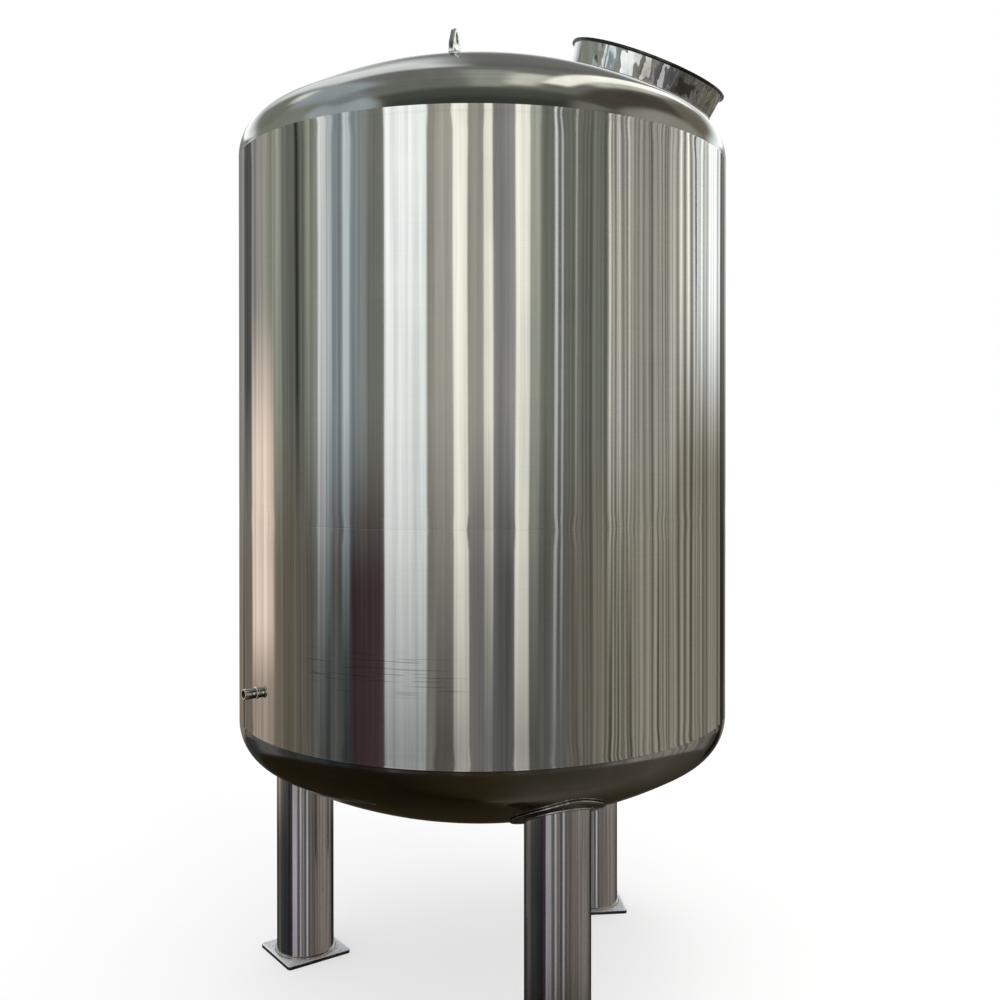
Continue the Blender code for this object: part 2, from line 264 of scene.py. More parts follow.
class Tree:
    """Short calls for laying out a node tree."""

    def __init__(self, tree):
        self.nodes = tree.nodes
        self.links = tree.links

    def put(self, socket, value):
        if isinstance(value, bpy.types.NodeSocket):
            self.links.new(value, socket)
        elif value is not None:
            if socket.type == "RGBA" and len(value) == 3:
                value = (*value, 1.0)
            socket.default_value = value

    def node(self, kind, inputs=None, **settings):
        node = self.nodes.new(kind)
        for name, value in settings.items():
            setattr(node, name, value)
        for key, value in (inputs or {}).items():
            self.put(node.inputs[key], value)
        return node

    def geometry(self, kind, inputs=None, **settings):
        return self.node("GeometryNode" + kind, inputs, **settings).outputs[0]

    def math(self, operation, *values):
        return self.node("ShaderNodeMath", dict(enumerate(values)), operation=operation).outputs[0]

    def plus(self, first, second):
        return self.math("ADD", first, second)

    def less(self, first, second):
        return self.math("SUBTRACT", first, second)

    def times(self, first, second):
        return self.math("MULTIPLY", first, second)

    def degrees(self, first, second):
        """The angle in degrees whose tangent is first over second."""
        return self.math("DEGREES", self.math("ARCTAN2", first, second))

    def vector(self, operation, *values):
        node = self.node("ShaderNodeVectorMath", dict(enumerate(values)), operation=operation)
        return node.outputs["Value" if operation in ("LENGTH", "DISTANCE") else "Vector"]

    def scaled(self, colour, factor):
        keys = {0: colour, "Scale": factor}
        return self.node("ShaderNodeVectorMath", keys, operation="SCALE").outputs[0]

    def split(self, vector):
        return self.node("ShaderNodeSeparateXYZ", {"Vector": vector}).outputs

    def join(self, **parts):
        return self.node("ShaderNodeCombineXYZ", parts).outputs[0]

    def remap(self, value, low, high, to_low=0.0, to_high=1.0, kind="LINEAR"):
        keys = {"Value": value, "From Min": low, "From Max": high}
        keys.update({"To Min": to_low, "To Max": to_high})
        return self.node("ShaderNodeMapRange", keys, interpolation_type=kind).outputs["Result"]

    def ease(self, value, low, high, to_low=0.0, to_high=1.0):
        """A remap that starts and ends softly."""
        return self.remap(value, low, high, to_low, to_high, "SMOOTHSTEP")

    def noise(self, vector, scale=1.0, detail=2.0, roughness=0.5):
        """Noise, with one scale, or one for each axis."""
        if isinstance(scale, tuple):
            vector, scale = self.vector("MULTIPLY", vector, scale), 1.0
        keys = {"Vector": vector, "Scale": scale, "Detail": detail, "Roughness": roughness}
        return self.node("ShaderNodeTexNoise", keys).outputs["Fac"]

    def mix(self, factor, first, second, blend="MIX"):
        keys = {0: factor, 6: first, 7: second}
        return self.node("ShaderNodeMix", keys, data_type="RGBA", blend_type=blend).outputs[2]

    def ramp(self, value, stops):
        node = self.node("ShaderNodeValToRGB", {"Fac": value})
        elements = node.color_ramp.elements
        while len(elements) < len(stops):
            elements.new(0.5)
        for element, (place, colour) in zip(elements, stops):
            element.position = place
            element.color = (*colour, 1.0)
        return node.outputs["Color"]

    def bump(self, height, distance, normal=None):
        keys = {"Height": height, "Distance": distance, "Strength": 1.0, "Normal": normal}
        return self.node("ShaderNodeBump", keys).outputs["Normal"]


# Materials

def opened(material):
    """A material's tree, its shader and its Object coordinates."""
    tree = Tree(material.node_tree)
    place = next(node for node in tree.nodes if node.type == "TEX_COORD")
    return tree, tree.nodes["Principled BSDF"], place.outputs["Object"]


def new_material(name, metallic=1.0):
    material = bpy.data.materials.new(name)
    material.use_nodes = True
    material.node_tree.nodes.new("ShaderNodeTexCoord")
    tree, shader, place = opened(material)
    shader.inputs["Metallic"].default_value = metallic
    return material, tree, shader, place


def give_finish(tree, shader, colour, rough, normal):
    for name, value in (("Base Color", colour), ("Roughness", rough), ("Normal", normal)):
        tree.put(shader.inputs[name], value)


def paint_over(tree, shader, share, colour):
    socket = shader.inputs["Base Color"]
    tree.put(socket, tree.mix(share, socket.links[0].from_socket, colour))


def polish(tree, shader, colour, lines, cloud, rough, fleck, gloss, ripple, depth):
    """Brush lines that fleck the colour and the gloss, on a slow ripple if there is one."""
    colour = tree.scaled(colour, tree.remap(lines, 0.3, 0.7, *fleck))
    sheen = tree.remap(lines, 0.25, 0.75, gloss, 0.25)
    sheen = tree.plus(sheen, tree.remap(cloud, 0.3, 0.7, -0.15, 0.20))
    normal = tree.bump(lines, BRUSH_DEPTH)
    if ripple:
        normal = tree.bump(ripple, depth, normal)
    give_finish(tree, shader, colour, tree.math("MULTIPLY_ADD", sheen, rough, rough), normal)


def brushed_steel(name, tint, rough, anisotropy, along, across, waves=0.0, stain=0.1):
    """Polished plate or pipe.

    along and across are the scales of the brush lines and of the long smears, as
    (x, y, z) frequencies per metre; waves is the depth of the slow ripple in metres.
    """
    material, tree, shader, place = new_material(name)
    lines = tree.noise(place, along, 3.0, 0.6)
    smear = tree.noise(place, across, 4.0, 0.55)
    cloud = tree.noise(place, 2.6, 3.0, 0.6)
    deep = tuple(channel * (1.0 - 2.2 * stain) for channel in tint)
    warm = (tint[0] * 1.03, tint[1] * 0.99, tint[2] * 0.94)
    colour = tree.mix(tree.ease(smear, 0.36, 0.62), deep, tint)
    colour = tree.mix(tree.remap(cloud, 0.45, 0.75, 0.0, 0.6), colour, warm)
    ripple = tree.noise(place, SLOW_RIPPLE, 1.0) if waves else None
    polish(tree, shader, colour, lines, cloud, rough, (0.97, 1.02), -0.25, ripple, waves)
    shader.inputs["Anisotropic"].default_value = anisotropy
    if anisotropy:
        tangent = tree.node("ShaderNodeTangent", direction_type="RADIAL", axis="Z")
        tree.put(shader.inputs["Tangent"], tangent.outputs["Tangent"])
        shader.inputs["Anisotropic Rotation"].default_value = 0.25
    return material


def dent_and_shade_neck(material):
    """Hand-worked dents in the neck, and painted shade that darkens its low side."""
    tree, shader, place = opened(material)
    # Painted shade: the low side's colour is mixed towards dark grey, standing in for the dark
    # surroundings that side mirrors
    share = tree.ease(tree.split(place)["X"], *NECK_SHADE_SPAN, 0.0, NECK_PAINTED_SHADE)
    paint_over(tree, shader, share, (0.27, 0.30, 0.275))
    dents = tree.noise(place, NECK_DENTS, 1.5)
    normal = shader.inputs["Normal"]
    tree.put(normal, tree.bump(dents, NECK_DENT_DEPTH, normal.links[0].from_socket))


def add_scuffs(material):
    """Short dark handling marks that run round the lower course, on the front left."""
    tree, shader, place = opened(material)
    part = tree.split(place)
    around = tree.degrees(part["X"], tree.times(part["Y"], -1.0))
    per_degree, per_metre = SCUFF_SCALES
    flat = tree.join(X=tree.times(around, per_degree), Y=tree.times(part["Z"], per_metre))
    share = tree.ease(tree.noise(flat, detail=0.0), 0.62, 0.72)
    bands = ((part["Z"], SCUFF_HEIGHTS, 0.03), (around, SCUFF_AZIMUTHS, 6.0))
    for value, (low, high), edge in bands:
        away = tree.math("ABSOLUTE", tree.less(value, (low + high) / 2))
        half = (high - low) / 2
        share = tree.times(share, tree.remap(away, half, half - edge))
    paint_over(tree, shader, tree.times(share, SCUFF_SHADE), (0.17, 0.165, 0.15))


def head_steel(name, tint, rough):
    """Dished head, polished in rings round the tank's axis."""
    material, tree, shader, place = new_material(name)
    radius = tree.vector("LENGTH", tree.vector("MULTIPLY", place, (1.0, 1.0, 0.0)))
    rings = tree.join(X=tree.times(radius, RINGS_PER_METRE))
    drift = tree.vector("MULTIPLY", place, (2.0, 2.0, 2.0))
    lines = tree.noise(tree.vector("ADD", rings, drift), 1.0, 3.0, 0.6)
    cloud = tree.noise(place, 3.2, 4.0, 0.6)
    deep = (tint[0] * 0.78, tint[1] * 0.79, tint[2] * 0.76)
    colour = tree.mix(tree.ease(cloud, 0.35, 0.65), deep, tint)
    ripple = tree.noise(place, 5.0, 1.0)
    polish(tree, shader, colour, lines, cloud, rough, (0.95, 1.04), -0.2, ripple, 0.0002)
    return material


def weld_metal(name, tint, heat, rough):
    """Weld run: fine ripples, with straw and blue heat colours in patches."""
    material, tree, shader, place = new_material(name)
    grain = tree.noise(place, 420.0, 3.0, 0.6)
    patch = tree.noise(place, 38.0)
    colour = tree.mix(tree.remap(patch, 0.45, 0.65, 0.0, 0.75), tint, heat)
    sheen = tree.remap(grain, 0.3, 0.7, rough * 0.75, rough * 1.3)
    give_finish(tree, shader, colour, sheen, tree.bump(grain, 0.00012))
    return material


def plate_steel(name):
    """Rolled base plate: mill mottling, scratches, and heat colour round the leg."""
    material, tree, shader, place = new_material(name, metallic=0.45)
    mottle = tree.noise(place, 55.0, 5.0, 0.65)
    scuff = tree.noise(place, (240.0, 18.0, 30.0), 3.0)
    centre = tree.node("ShaderNodeAttribute", attribute_name="leg_centre").outputs["Vector"]
    flat = tree.vector("MULTIPLY", place, (1.0, 1.0, 0.0))
    reach = tree.vector("DISTANCE", flat, centre)
    heat = tree.ease(reach, LEG_RADIUS + 0.004, LEG_RADIUS + 0.020, 1.0, 0.0)
    colour = tree.mix(tree.remap(mottle, 0.35, 0.65), (0.80, 0.83, 0.87), (0.88, 0.91, 0.95))
    colour = tree.mix(tree.times(heat, 0.4), colour, (0.46, 0.40, 0.33))
    sheen = tree.remap(mottle, 0.3, 0.7, 0.22, 0.32)
    sheen = tree.plus(sheen, tree.remap(scuff, 0.4, 0.7, 0.0, 0.1))
    normal = tree.bump(scuff, 0.000006, tree.bump(mottle, 0.000012))
    give_finish(tree, shader, colour, sheen, normal)
    return material


def painted_shade_satin(name):
    """Near-black satin with rubbed patches; its dark colour is painted shade."""
    material, tree, shader, place = new_material(name)
    rub = tree.noise(place, 24.0, 4.0, 0.6)
    fine = tree.noise(place, 300.0)
    colour = tree.mix(tree.remap(rub, 0.5, 0.72), (0.055, 0.058, 0.055), (0.20, 0.20, 0.19))
    sheen = tree.remap(rub, 0.3, 0.7, 0.36, 0.24)
    give_finish(tree, shader, colour, sheen, tree.bump(fine, 0.00003))
    return material


# Geometry Nodes

def open_tree(name, inputs):
    """A tree with an input for each name, whose default says what kind it is."""
    kinds = {float: "Float", int: "Int", type(None): "Material"}
    tree = bpy.data.node_groups.new(name, "GeometryNodeTree")
    for way in ("INPUT", "OUTPUT"):
        tree.interface.new_socket(name="Geometry", in_out=way, socket_type="NodeSocketGeometry")
    for label, default in inputs.items():
        kind = "NodeSocket" + kinds[type(default)]
        socket = tree.interface.new_socket(name=label, in_out="INPUT", socket_type=kind)
        if default is not None:
            socket.default_value = default
    build = Tree(tree)
    return tree, build, build.node("NodeGroupInput").outputs


def close_tree(build, geometry, material):
    smooth = build.geometry("SetShadeSmooth", {"Geometry": geometry})
    real = build.geometry("RealizeInstances", {"Geometry": smooth})
    done = build.geometry("SetMaterial", {"Geometry": real, "Material": material})
    build.node("NodeGroupOutput", {"Geometry": done})


def turned_wall_tree():
    """A section of (radius - Guide radius, height) points, turned round the Z axis."""
    inputs = {"Guide radius": 1.0, "Steps": 64, "Material": None}
    tree, build, given = open_tree("turned_wall", inputs)
    keys = {"Resolution": given["Steps"], "Radius": given["Guide radius"]}
    guide = build.geometry("CurvePrimitiveCircle", keys)
    section = build.geometry("MeshToCurve", {"Mesh": given["Geometry"]})
    swept = build.geometry("CurveToMesh", {"Curve": guide, "Profile Curve": section})
    joined = build.geometry("MergeByDistance", {"Geometry": swept, "Distance": MERGE_REACH})
    close_tree(build, joined, given["Material"])
    return tree


def weld_run_tree():
    """A rippled weld run along a path."""
    inputs = {"Run width": 0.006, "Run height": 0.006, "Ripple pitch": 0.0025}
    inputs.update({"Ripple depth": 0.06, "Seed": 1, "Material": None})
    tree, build, given = open_tree("weld_run", inputs)
    path = build.geometry("MeshToCurve", {"Mesh": given["Geometry"]})
    keys = {"Curve": path, "Length": build.times(given["Ripple pitch"], 0.25)}
    even = build.geometry("ResampleCurve", keys, mode="LENGTH")
    place = build.node("GeometryNodeSplineParameter").outputs["Length"]
    turn = build.times(build.math("DIVIDE", place, given["Ripple pitch"]), tau)
    wave = build.times(build.math("SINE", turn), given["Ripple depth"])
    where = build.geometry("InputPosition")
    keys = {"Vector": where, "W": given["Seed"], "Scale": 60.0, "Detail": 2.0}
    drift = build.node("ShaderNodeTexNoise", keys, noise_dimensions="4D").outputs["Fac"]
    drift = build.times(build.less(drift, 0.5), RUN_DRIFT)
    size = build.plus(build.plus(wave, drift), 1.0)
    sized = build.geometry("SetCurveRadius", {"Curve": even, "Radius": size})
    ring = build.geometry("CurvePrimitiveCircle", {"Resolution": 10, "Radius": 0.5})
    scale = build.join(X=given["Run height"], Y=given["Run width"], Z=1.0)
    section = build.geometry("Transform", {"Geometry": ring, "Scale": scale})
    keys = {"Curve": sized, "Profile Curve": section, "Fill Caps": True}
    close_tree(build, build.geometry("CurveToMesh", keys), given["Material"])
    return tree


# Meshes and pieces

def new_object(name, data):
    obj = bpy.data.objects.new(name, data)
    bpy.context.scene.collection.objects.link(obj)
    return obj


def plain_mesh(obj, name):
    """The object's mesh once its modifiers have run. The object itself is taken away."""
    graph = bpy.context.evaluated_depsgraph_get()
    mesh = bpy.data.meshes.new_from_object(obj.evaluated_get(graph))
    mesh.name = name
    bpy.data.objects.remove(obj, do_unlink=True)
    return mesh


def run_tree(name, points, closed, tree, values):
    """The plain mesh that the tree makes from a line of points."""
    line = bpy.data.meshes.new(name + "_line")
    edges = [(i, i + 1) for i in range(len(points) - 1)]
    if closed:
        edges.append((len(points) - 1, 0))
    line.from_pydata(points, edges, [])
    obj = new_object(name + "_line", line)
    modifier = obj.modifiers.new("nodes", "NODES")
    modifier.node_group = tree
    for item in tree.interface.items_tree:
        if item.in_out == "INPUT" and item.name in values:
            modifier[item.identifier] = values[item.name]
    mesh = plain_mesh(obj, name)
    bpy.data.meshes.remove(line)
    return mesh


def outside_out(mesh):
    """Turns a closed mesh so that its faces point outwards."""
    work = bmesh.new()
    work.from_mesh(mesh)
    if work.calc_volume(signed=True) < 0.0:
        bmesh.ops.reverse_faces(work, faces=work.faces)
    work.to_mesh(mesh)
    work.free()


def turned(name, section, steps, material, closed=True):
    """A section of (radius, height) points turned round the Z axis, as a closed mesh."""
    guide = max(radius for radius, height in section) + GUIDE_CLEARANCE
    points = [(radius - guide, height, 0.0) for radius, height in section]
    values = {"Guide radius": guide, "Steps": steps, "Material": material}
    mesh = run_tree(name, points, closed, TURNED_WALL, values)
    # The sweep lays the section upside down
    mesh.transform(Matrix.Scale(-1.0, 4, (0.0, 0.0, 1.0)))
    outside_out(mesh)
    return mesh


def weld_run(name, path, closed, width, material, height=None, pitch=0.0025, depth=0.06, seed=1):
    values = {
        "Run width": width,
        "Run height": height or width,
        "Ripple pitch": pitch,
        "Ripple depth": depth,
        "Seed": seed,
        "Material": material,
    }
    mesh = run_tree(name, path, closed, WELD_RUN, values)
    outside_out(mesh)
    return mesh


def smooth(mesh, degrees):
    """Smooth shading, with edges kept sharp past this angle."""
    mesh.shade_smooth()
    mesh.set_sharp_from_angle(angle=radians(degrees))


def add_piece(name, mesh, slot, *nodes):
    """Puts a finished mesh in the scene, on the tank's one body."""
    piece = new_object(name, mesh)
    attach(piece, "root")
    if nodes:
        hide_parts(*nodes)
    return piece


def lay_weld(name, path, width, material, *nodes, **ripples):
    """A closed weld run, as a piece of its own."""
    mesh = weld_run(name, path, True, width, material, **ripples)
    return add_piece(name, mesh, "dressed_weld", *nodes)


# Tank body

def plate_wave(place):
    """How far the plate stands off its true curve here."""
    around = atan2(place.x, -place.y)
    total = 0.0
    for size, count, phase, drift, rate in PLATE_WAVES:
        total += size * sin(count * around + phase + drift * sin(rate * place.z + phase))
    fade = min(hypot(place.x, place.y) / SHELL_RADIUS, 1.0) ** 2
    for seam in SEAMS.values():
        near = exp(-(((place.z - seam) / WELD_WAVE_REACH) ** 2))
        for size, count, phase in WELD_WAVES:
            total += size * near * sin(count * around + phase + WELD_WAVE_TURN * seam)
    pull = WELD_PULL * exp(-(((place.z - MIDDLE_SEAM) / WELD_PULL_REACH) ** 2))
    ring = 0.0
    lines = [(LOWER_TANGENT + LEAN, RING_HALF, RING_RISE)]
    lines += [(UPPER_TANGENT - LEAN, RING_HALF, RING_RISE)]
    lines += [(MIDDLE_SEAM, GROOVE_HALF, -GROOVE_DEPTH)]
    for level, half, rise in lines:
        away = abs(place.z - level) / half
        if away < 1.0:
            ring = rise * (1.0 - away * away) ** 2
    return (total - DRAWN_IN) * fade - pull + ring


def true_normal(place):
    """The outward normal of the body's true surface at this place."""
    radius = hypot(place.x, place.y)
    round_out = Vector((place.x, place.y, 0.0)) / max(radius, 1e-9)
    if LOWER_TANGENT + LEAN <= place.z <= UPPER_TANGENT - LEAN:
        return round_out
    upper = place.z > MIDDLE_SEAM
    tangent = UPPER_TANGENT if upper else LOWER_TANGENT
    side = 1.0 if upper else -1.0
    height = side * (place.z - tangent)
    if height > 0.0 and atan2(radius, height + CROWN_DROP) <= CROWN_ANGLE:
        normal = round_out * radius
        normal.z = side * (height + CROWN_DROP)
    else:
        angle = atan2(max(height, 0.0), radius - KNUCKLE_CENTRE)
        whole = pi / 2 - CROWN_ANGLE
        angle = KNUCKLE_CREASE + angle * (whole - KNUCKLE_CREASE) / whole
        normal = round_out * cos(angle)
        normal.z = side * sin(angle)
    return normal.normalized()


def wavy_normal(place, normal):
    """The normal once the plate's slow waves are added."""
    step = 0.0004
    first = normal.orthogonal().normalized()
    second = normal.cross(first)
    tilt = Vector()
    for way in (first, second):
        slope = plate_wave(place + way * step) - plate_wave(place - way * step)
        tilt += way * (slope / (2.0 * step))
    return (normal - tilt).normalized()


def shape_plate(mesh):
    """Adds the slow waves to a body plate and gives each corner its exact normal."""
    places = [vertex.co.copy() for vertex in mesh.vertices]
    normals = [true_normal(place) for place in places]
    wavy = [wavy_normal(place, normal) for place, normal in zip(places, normals)]
    faces = [face.normal.copy() for face in mesh.polygons]
    for vertex, place, normal in zip(mesh.vertices, places, normals):
        vertex.co = place + normal * plate_wave(place)
    corners = [Vector()] * len(mesh.loops)
    for face, flat in zip(mesh.polygons, faces):
        for loop in face.loop_indices:
            index = mesh.loops[loop].vertex_index
            facing_out = flat.dot(normals[index])
            if abs(facing_out) > BROAD_FACE:
                corners[loop] = wavy[index] if facing_out > 0.0 else -wavy[index]
            else:
                corners[loop] = flat
    mesh.normals_split_custom_set(corners)


def rows(low, high):
    count = max(1, round((high - low) / ROW_HEIGHT))
    return [low + (high - low) * i / count for i in range(count + 1)]


def tube_section(radius, wall, low, high):
    heights = rows(low, high)
    section = [(radius, height) for height in reversed(heights)]
    return section + [(radius - wall, height) for height in heights]


def head_curve(offset):
    crown, knuckle = CROWN_RADIUS + offset, KNUCKLE_RADIUS + offset
    points = []
    for i in range(CROWN_SPANS + 1):
        angle = CROWN_ANGLE * i / CROWN_SPANS
        points.append((crown * sin(angle), crown * cos(angle) - CROWN_DROP))
    for i in range(1, KNUCKLE_SPANS + 1):
        angle = CROWN_ANGLE + (pi / 2 - CROWN_ANGLE) * i / KNUCKLE_SPANS
        points.append((KNUCKLE_CENTRE + knuckle * sin(angle), knuckle * cos(angle)))
    return points


def head_section():
    """Outside from the pole down, with close rows over the polished ring, then the inside."""
    end = WELD_HALF - STRAIGHT_FLANGE
    steps = [i / RING_ROWS for i in range(-RING_ROWS, RING_ROWS + 1)]
    depths = sorted([LEAN + RING_HALF * step for step in steps] + [LEAN - CREASE_ROW])
    outside = head_curve(0.0) + [(SHELL_RADIUS, -depth) for depth in depths + [-end]]
    return outside + [(SHELL_RADIUS - SHELL_WALL, end)] + head_curve(-SHELL_WALL)[::-1]


def cut_mesh(mesh, cutter_mesh):
    """The mesh less a closed cutter."""
    holder = new_object("plate_to_cut", mesh)
    cutter = new_object("cutter", cutter_mesh)
    modifier = holder.modifiers.new("cut", "BOOLEAN")
    modifier.operation = "DIFFERENCE"
    modifier.solver = "EXACT"
    modifier.object = cutter
    result = plain_mesh(holder, mesh.name)
    bpy.data.objects.remove(cutter, do_unlink=True)
    return result


def make_body(shell_steel, dome_steel, weld):
    for name, (below, above) in COURSES.items():
        low, high = SEAMS[below] + WELD_HALF, SEAMS[above] - WELD_HALF
        section = tube_section(SHELL_RADIUS, SHELL_WALL, low, high)
        mesh = turned(name, section, BODY_STEPS, shell_steel)
        shape_plate(mesh)
        add_piece("plate_" + name, mesh, "polished_stainless", name)
    for name, height in SEAMS.items():
        rises = [share * WELD_HALF for share in SEAM_ROWS]
        section = [(SHELL_RADIUS, height + rise) for rise in rises]
        section += [(SHELL_RADIUS - SHELL_WALL, height - rise) for rise in rises]
        mesh = turned(name, section, BODY_STEPS, weld)
        shape_plate(mesh)
        add_piece("run_" + name, mesh, "dressed_weld", name)
    heads = (("bottom_head", LOWER_TANGENT, -1.0), ("top_head", UPPER_TANGENT, 1.0))
    for name, tangent, side in heads:
        section = [(radius, tangent + side * height) for radius, height in head_section()]
        mesh = turned(name, section, BODY_STEPS, dome_steel, closed=False)
        if name == "top_head":
            mesh = cut_mesh(mesh, manhole_cutter())
        mesh.materials.append(shell_steel)
        for face in mesh.polygons:
            inside_tangent = side * (tangent - face.center.z)
            if inside_tangent > LEAN and face.center.xy.length > SHELL_RADIUS - SHELL_WALL / 2:
                face.material_index = 1
        shape_plate(mesh)
        add_piece("dished_" + name, mesh, "polished_stainless", name)
    make_long_seams(weld)


def make_long_seams(weld):
    for name, (azimuth, low, high) in LONG_SEAMS.items():
        path = [(SHELL_RADIUS - LONG_SEAM_SINK, 0.0, height) for height in rows(low, high)]
        keys = {"height": LONG_SEAM_RISE, "pitch": 0.003, "depth": 0.02}
        mesh = weld_run(name, path, False, LONG_SEAM_WIDTH, weld, **keys)
        mesh.transform(Matrix.Rotation(radians(azimuth - 90.0), 4, "Z"))
        for vertex in mesh.vertices:
            vertex.co += true_normal(vertex.co) * plate_wave(vertex.co)
        add_piece(name, mesh, "dressed_weld")


# Manhole

def manhole_place():
    tilt = radians(MANHOLE_TILT)
    axis = outward(MANHOLE_AZIMUTH) * sin(tilt)
    axis.z = cos(tilt)
    return facing(axis, UPPER_TANGENT - CROWN_DROP)


def neck_radius(height):
    return NECK_TOP_RADIUS - NECK_FLARE * (NECK_TOP - height)


def manhole_cutter():
    hole = NECK_FOOT_RADIUS - NECK_WALL
    section = [(0.0, NECK_TOP), (hole, NECK_TOP), (hole, HOLE_BOTTOM), (0.0, HOLE_BOTTOM)]
    mesh = turned("manhole_hole", section, NECK_STEPS, None, closed=False)
    mesh.transform(manhole_place())
    return mesh


def drop_to_dome(place, angle, wall):
    """Height along the neck at which its surface meets the dome, for one angle."""
    low, high = HOLE_BOTTOM, NECK_TOP
    for _ in range(HALVINGS):
        middle = (low + high) / 2
        radius = neck_radius(middle) - wall
        point = place @ Vector((*polar(radius, angle), middle))
        surface = UPPER_TANGENT + head_height(hypot(point.x, point.y))
        if point.z > surface:
            high = middle
        else:
            low = middle
    return high


def make_manhole(steel, painted_shade_steel, weld):
    place = manhole_place()
    outer = neck_radius(NECK_TOP)
    rises = [NECK_TOP - NECK_RISE * i / NECK_SPANS for i in range(NECK_SPANS + 1)]
    section = [(outer, height) for height in rises]
    section += [(outer - NECK_WALL, height) for height in rises[::-1]]
    mesh = turned("manhole_neck", section, NECK_STEPS, steel)
    bottom = NECK_TOP - NECK_RISE
    for vertex in mesh.vertices:
        angle = atan2(vertex.co.y, vertex.co.x)
        radius = hypot(vertex.co.x, vertex.co.y)
        wall = 0.0 if radius > NECK_TOP_RADIUS - NECK_WALL / 2 else NECK_WALL
        foot = drop_to_dome(place, angle, wall) - FOOT_SINK
        share = (vertex.co.z - bottom) / NECK_RISE
        height = foot + (NECK_TOP - foot) * share
        reach = neck_radius(height) - wall
        vertex.co = (*polar(reach, angle), height)
    mesh.transform(place)
    smooth(mesh, 40.0)
    add_piece("flared_neck", mesh, "polished_stainless", "manhole_neck").visible_glossy = False
    inner, low = NECK_TOP_RADIUS - NECK_WALL, NECK_TOP + SEAT
    section = rounded_section(inner, LIP_RADIUS, low, low + LIP_HEIGHT, LIP_ROUND)
    # The lip takes the near-black painted shade, for the shade under its own edge
    mesh = turned("manhole_lip", section, NECK_STEPS, painted_shade_steel)
    mesh.transform(place)
    add_piece("thick_lip", mesh, "dark_stainless_lip", "manhole_lip").visible_glossy = False
    path = []
    for i in range(NECK_WELD_POINTS):
        angle = tau * i / NECK_WELD_POINTS
        height = drop_to_dome(place, angle, 0.0)
        radius = neck_radius(height) + NECK_WELD_OUT
        path.append(place @ Vector((*polar(radius, angle), height)))
    bead = lay_weld("weld_round_neck", path, NECK_WELD, weld, depth=0.03, seed=3)
    bead.visible_glossy = False


def rounded_section(inner, outer, low, high, corner, spans=5):
    """A ring's section whose four corners are round."""
    centres = (
        (outer - corner, high - corner, 90.0),
        (outer - corner, low + corner, 0.0),
        (inner + corner, low + corner, -90.0),
        (inner + corner, high - corner, -180.0),
    )
    section = []
    for radius, height, start in centres:
        for i in range(spans + 1):
            angle = radians(start - 90.0 * i / spans)
            across, up = polar(corner, angle)
            section.append((radius + across, height + up))
    return section


# Lifting lugs

def lug_outline():
    """The lug's outline, with its foot just under the dome's surface."""
    half = LUG_WIDTH / 2
    rise = LUG_SHOULDER - LUG_EYE_HEIGHT
    start = atan2(rise, half) + acos(LUG_TOP_RADIUS / hypot(half, rise))
    middle = head_height(LUG_MIDDLE_RADIUS)
    points = [(-half, LUG_SHOULDER)]
    for i in range(LUG_FOOT_SPANS + 1):
        across = -half + LUG_WIDTH * i / LUG_FOOT_SPANS
        points.append((across, head_height(LUG_MIDDLE_RADIUS + across) - middle - LUG_SINK))
    points.append((half, LUG_SHOULDER))
    for i in range(LUG_TOP_SPANS + 1):
        angle = start + (pi - 2 * start) * i / LUG_TOP_SPANS
        across, up = polar(LUG_TOP_RADIUS, angle)
        points.append((across, LUG_EYE_HEIGHT + up))
    return points


def lug_mesh(steel):
    curve = bpy.data.curves.new("lug_outline", "CURVE")
    curve.dimensions = "2D"
    curve.fill_mode = "BOTH"
    curve.extrude = LUG_THICKNESS / 2
    eye = [(across, LUG_EYE_HEIGHT + up) for across, up in circle(LUG_EYE_STEPS, LUG_EYE_RADIUS)]
    for outline in (lug_outline(), eye):
        spline = curve.splines.new("POLY")
        spline.points.add(len(outline) - 1)
        for point, (across, up) in zip(spline.points, outline):
            point.co = (across, up, 0.0, 1.0)
        spline.use_cyclic_u = True
    mesh = plain_mesh(new_object("lug_outline", curve), "lug")
    work = bmesh.new()
    work.from_mesh(mesh)
    bmesh.ops.remove_doubles(work, verts=work.verts, dist=SAME_PLACE)
    inner = [e for e in work.edges if len(e.link_faces) == 2]
    flat = [e for e in inner if e.calc_face_angle() < FLAT_EDGE]
    bmesh.ops.dissolve_edges(work, edges=flat, use_verts=False)
    inner = [e for e in work.edges if len(e.link_faces) == 2]
    sharp = [e for e in inner if e.calc_face_angle() > SHARP_EDGE]
    bmesh.ops.bevel(work, geom=sharp, offset=LUG_EDGE, segments=2, profile=0.5, affect="EDGES")
    bmesh.ops.triangulate(work, faces=[f for f in work.faces if len(f.verts) > 4])
    bmesh.ops.recalc_face_normals(work, faces=work.faces)
    work.to_mesh(mesh)
    work.free()
    smooth(mesh, 35.0)
    mesh.materials.clear()
    mesh.materials.append(steel)
    return mesh


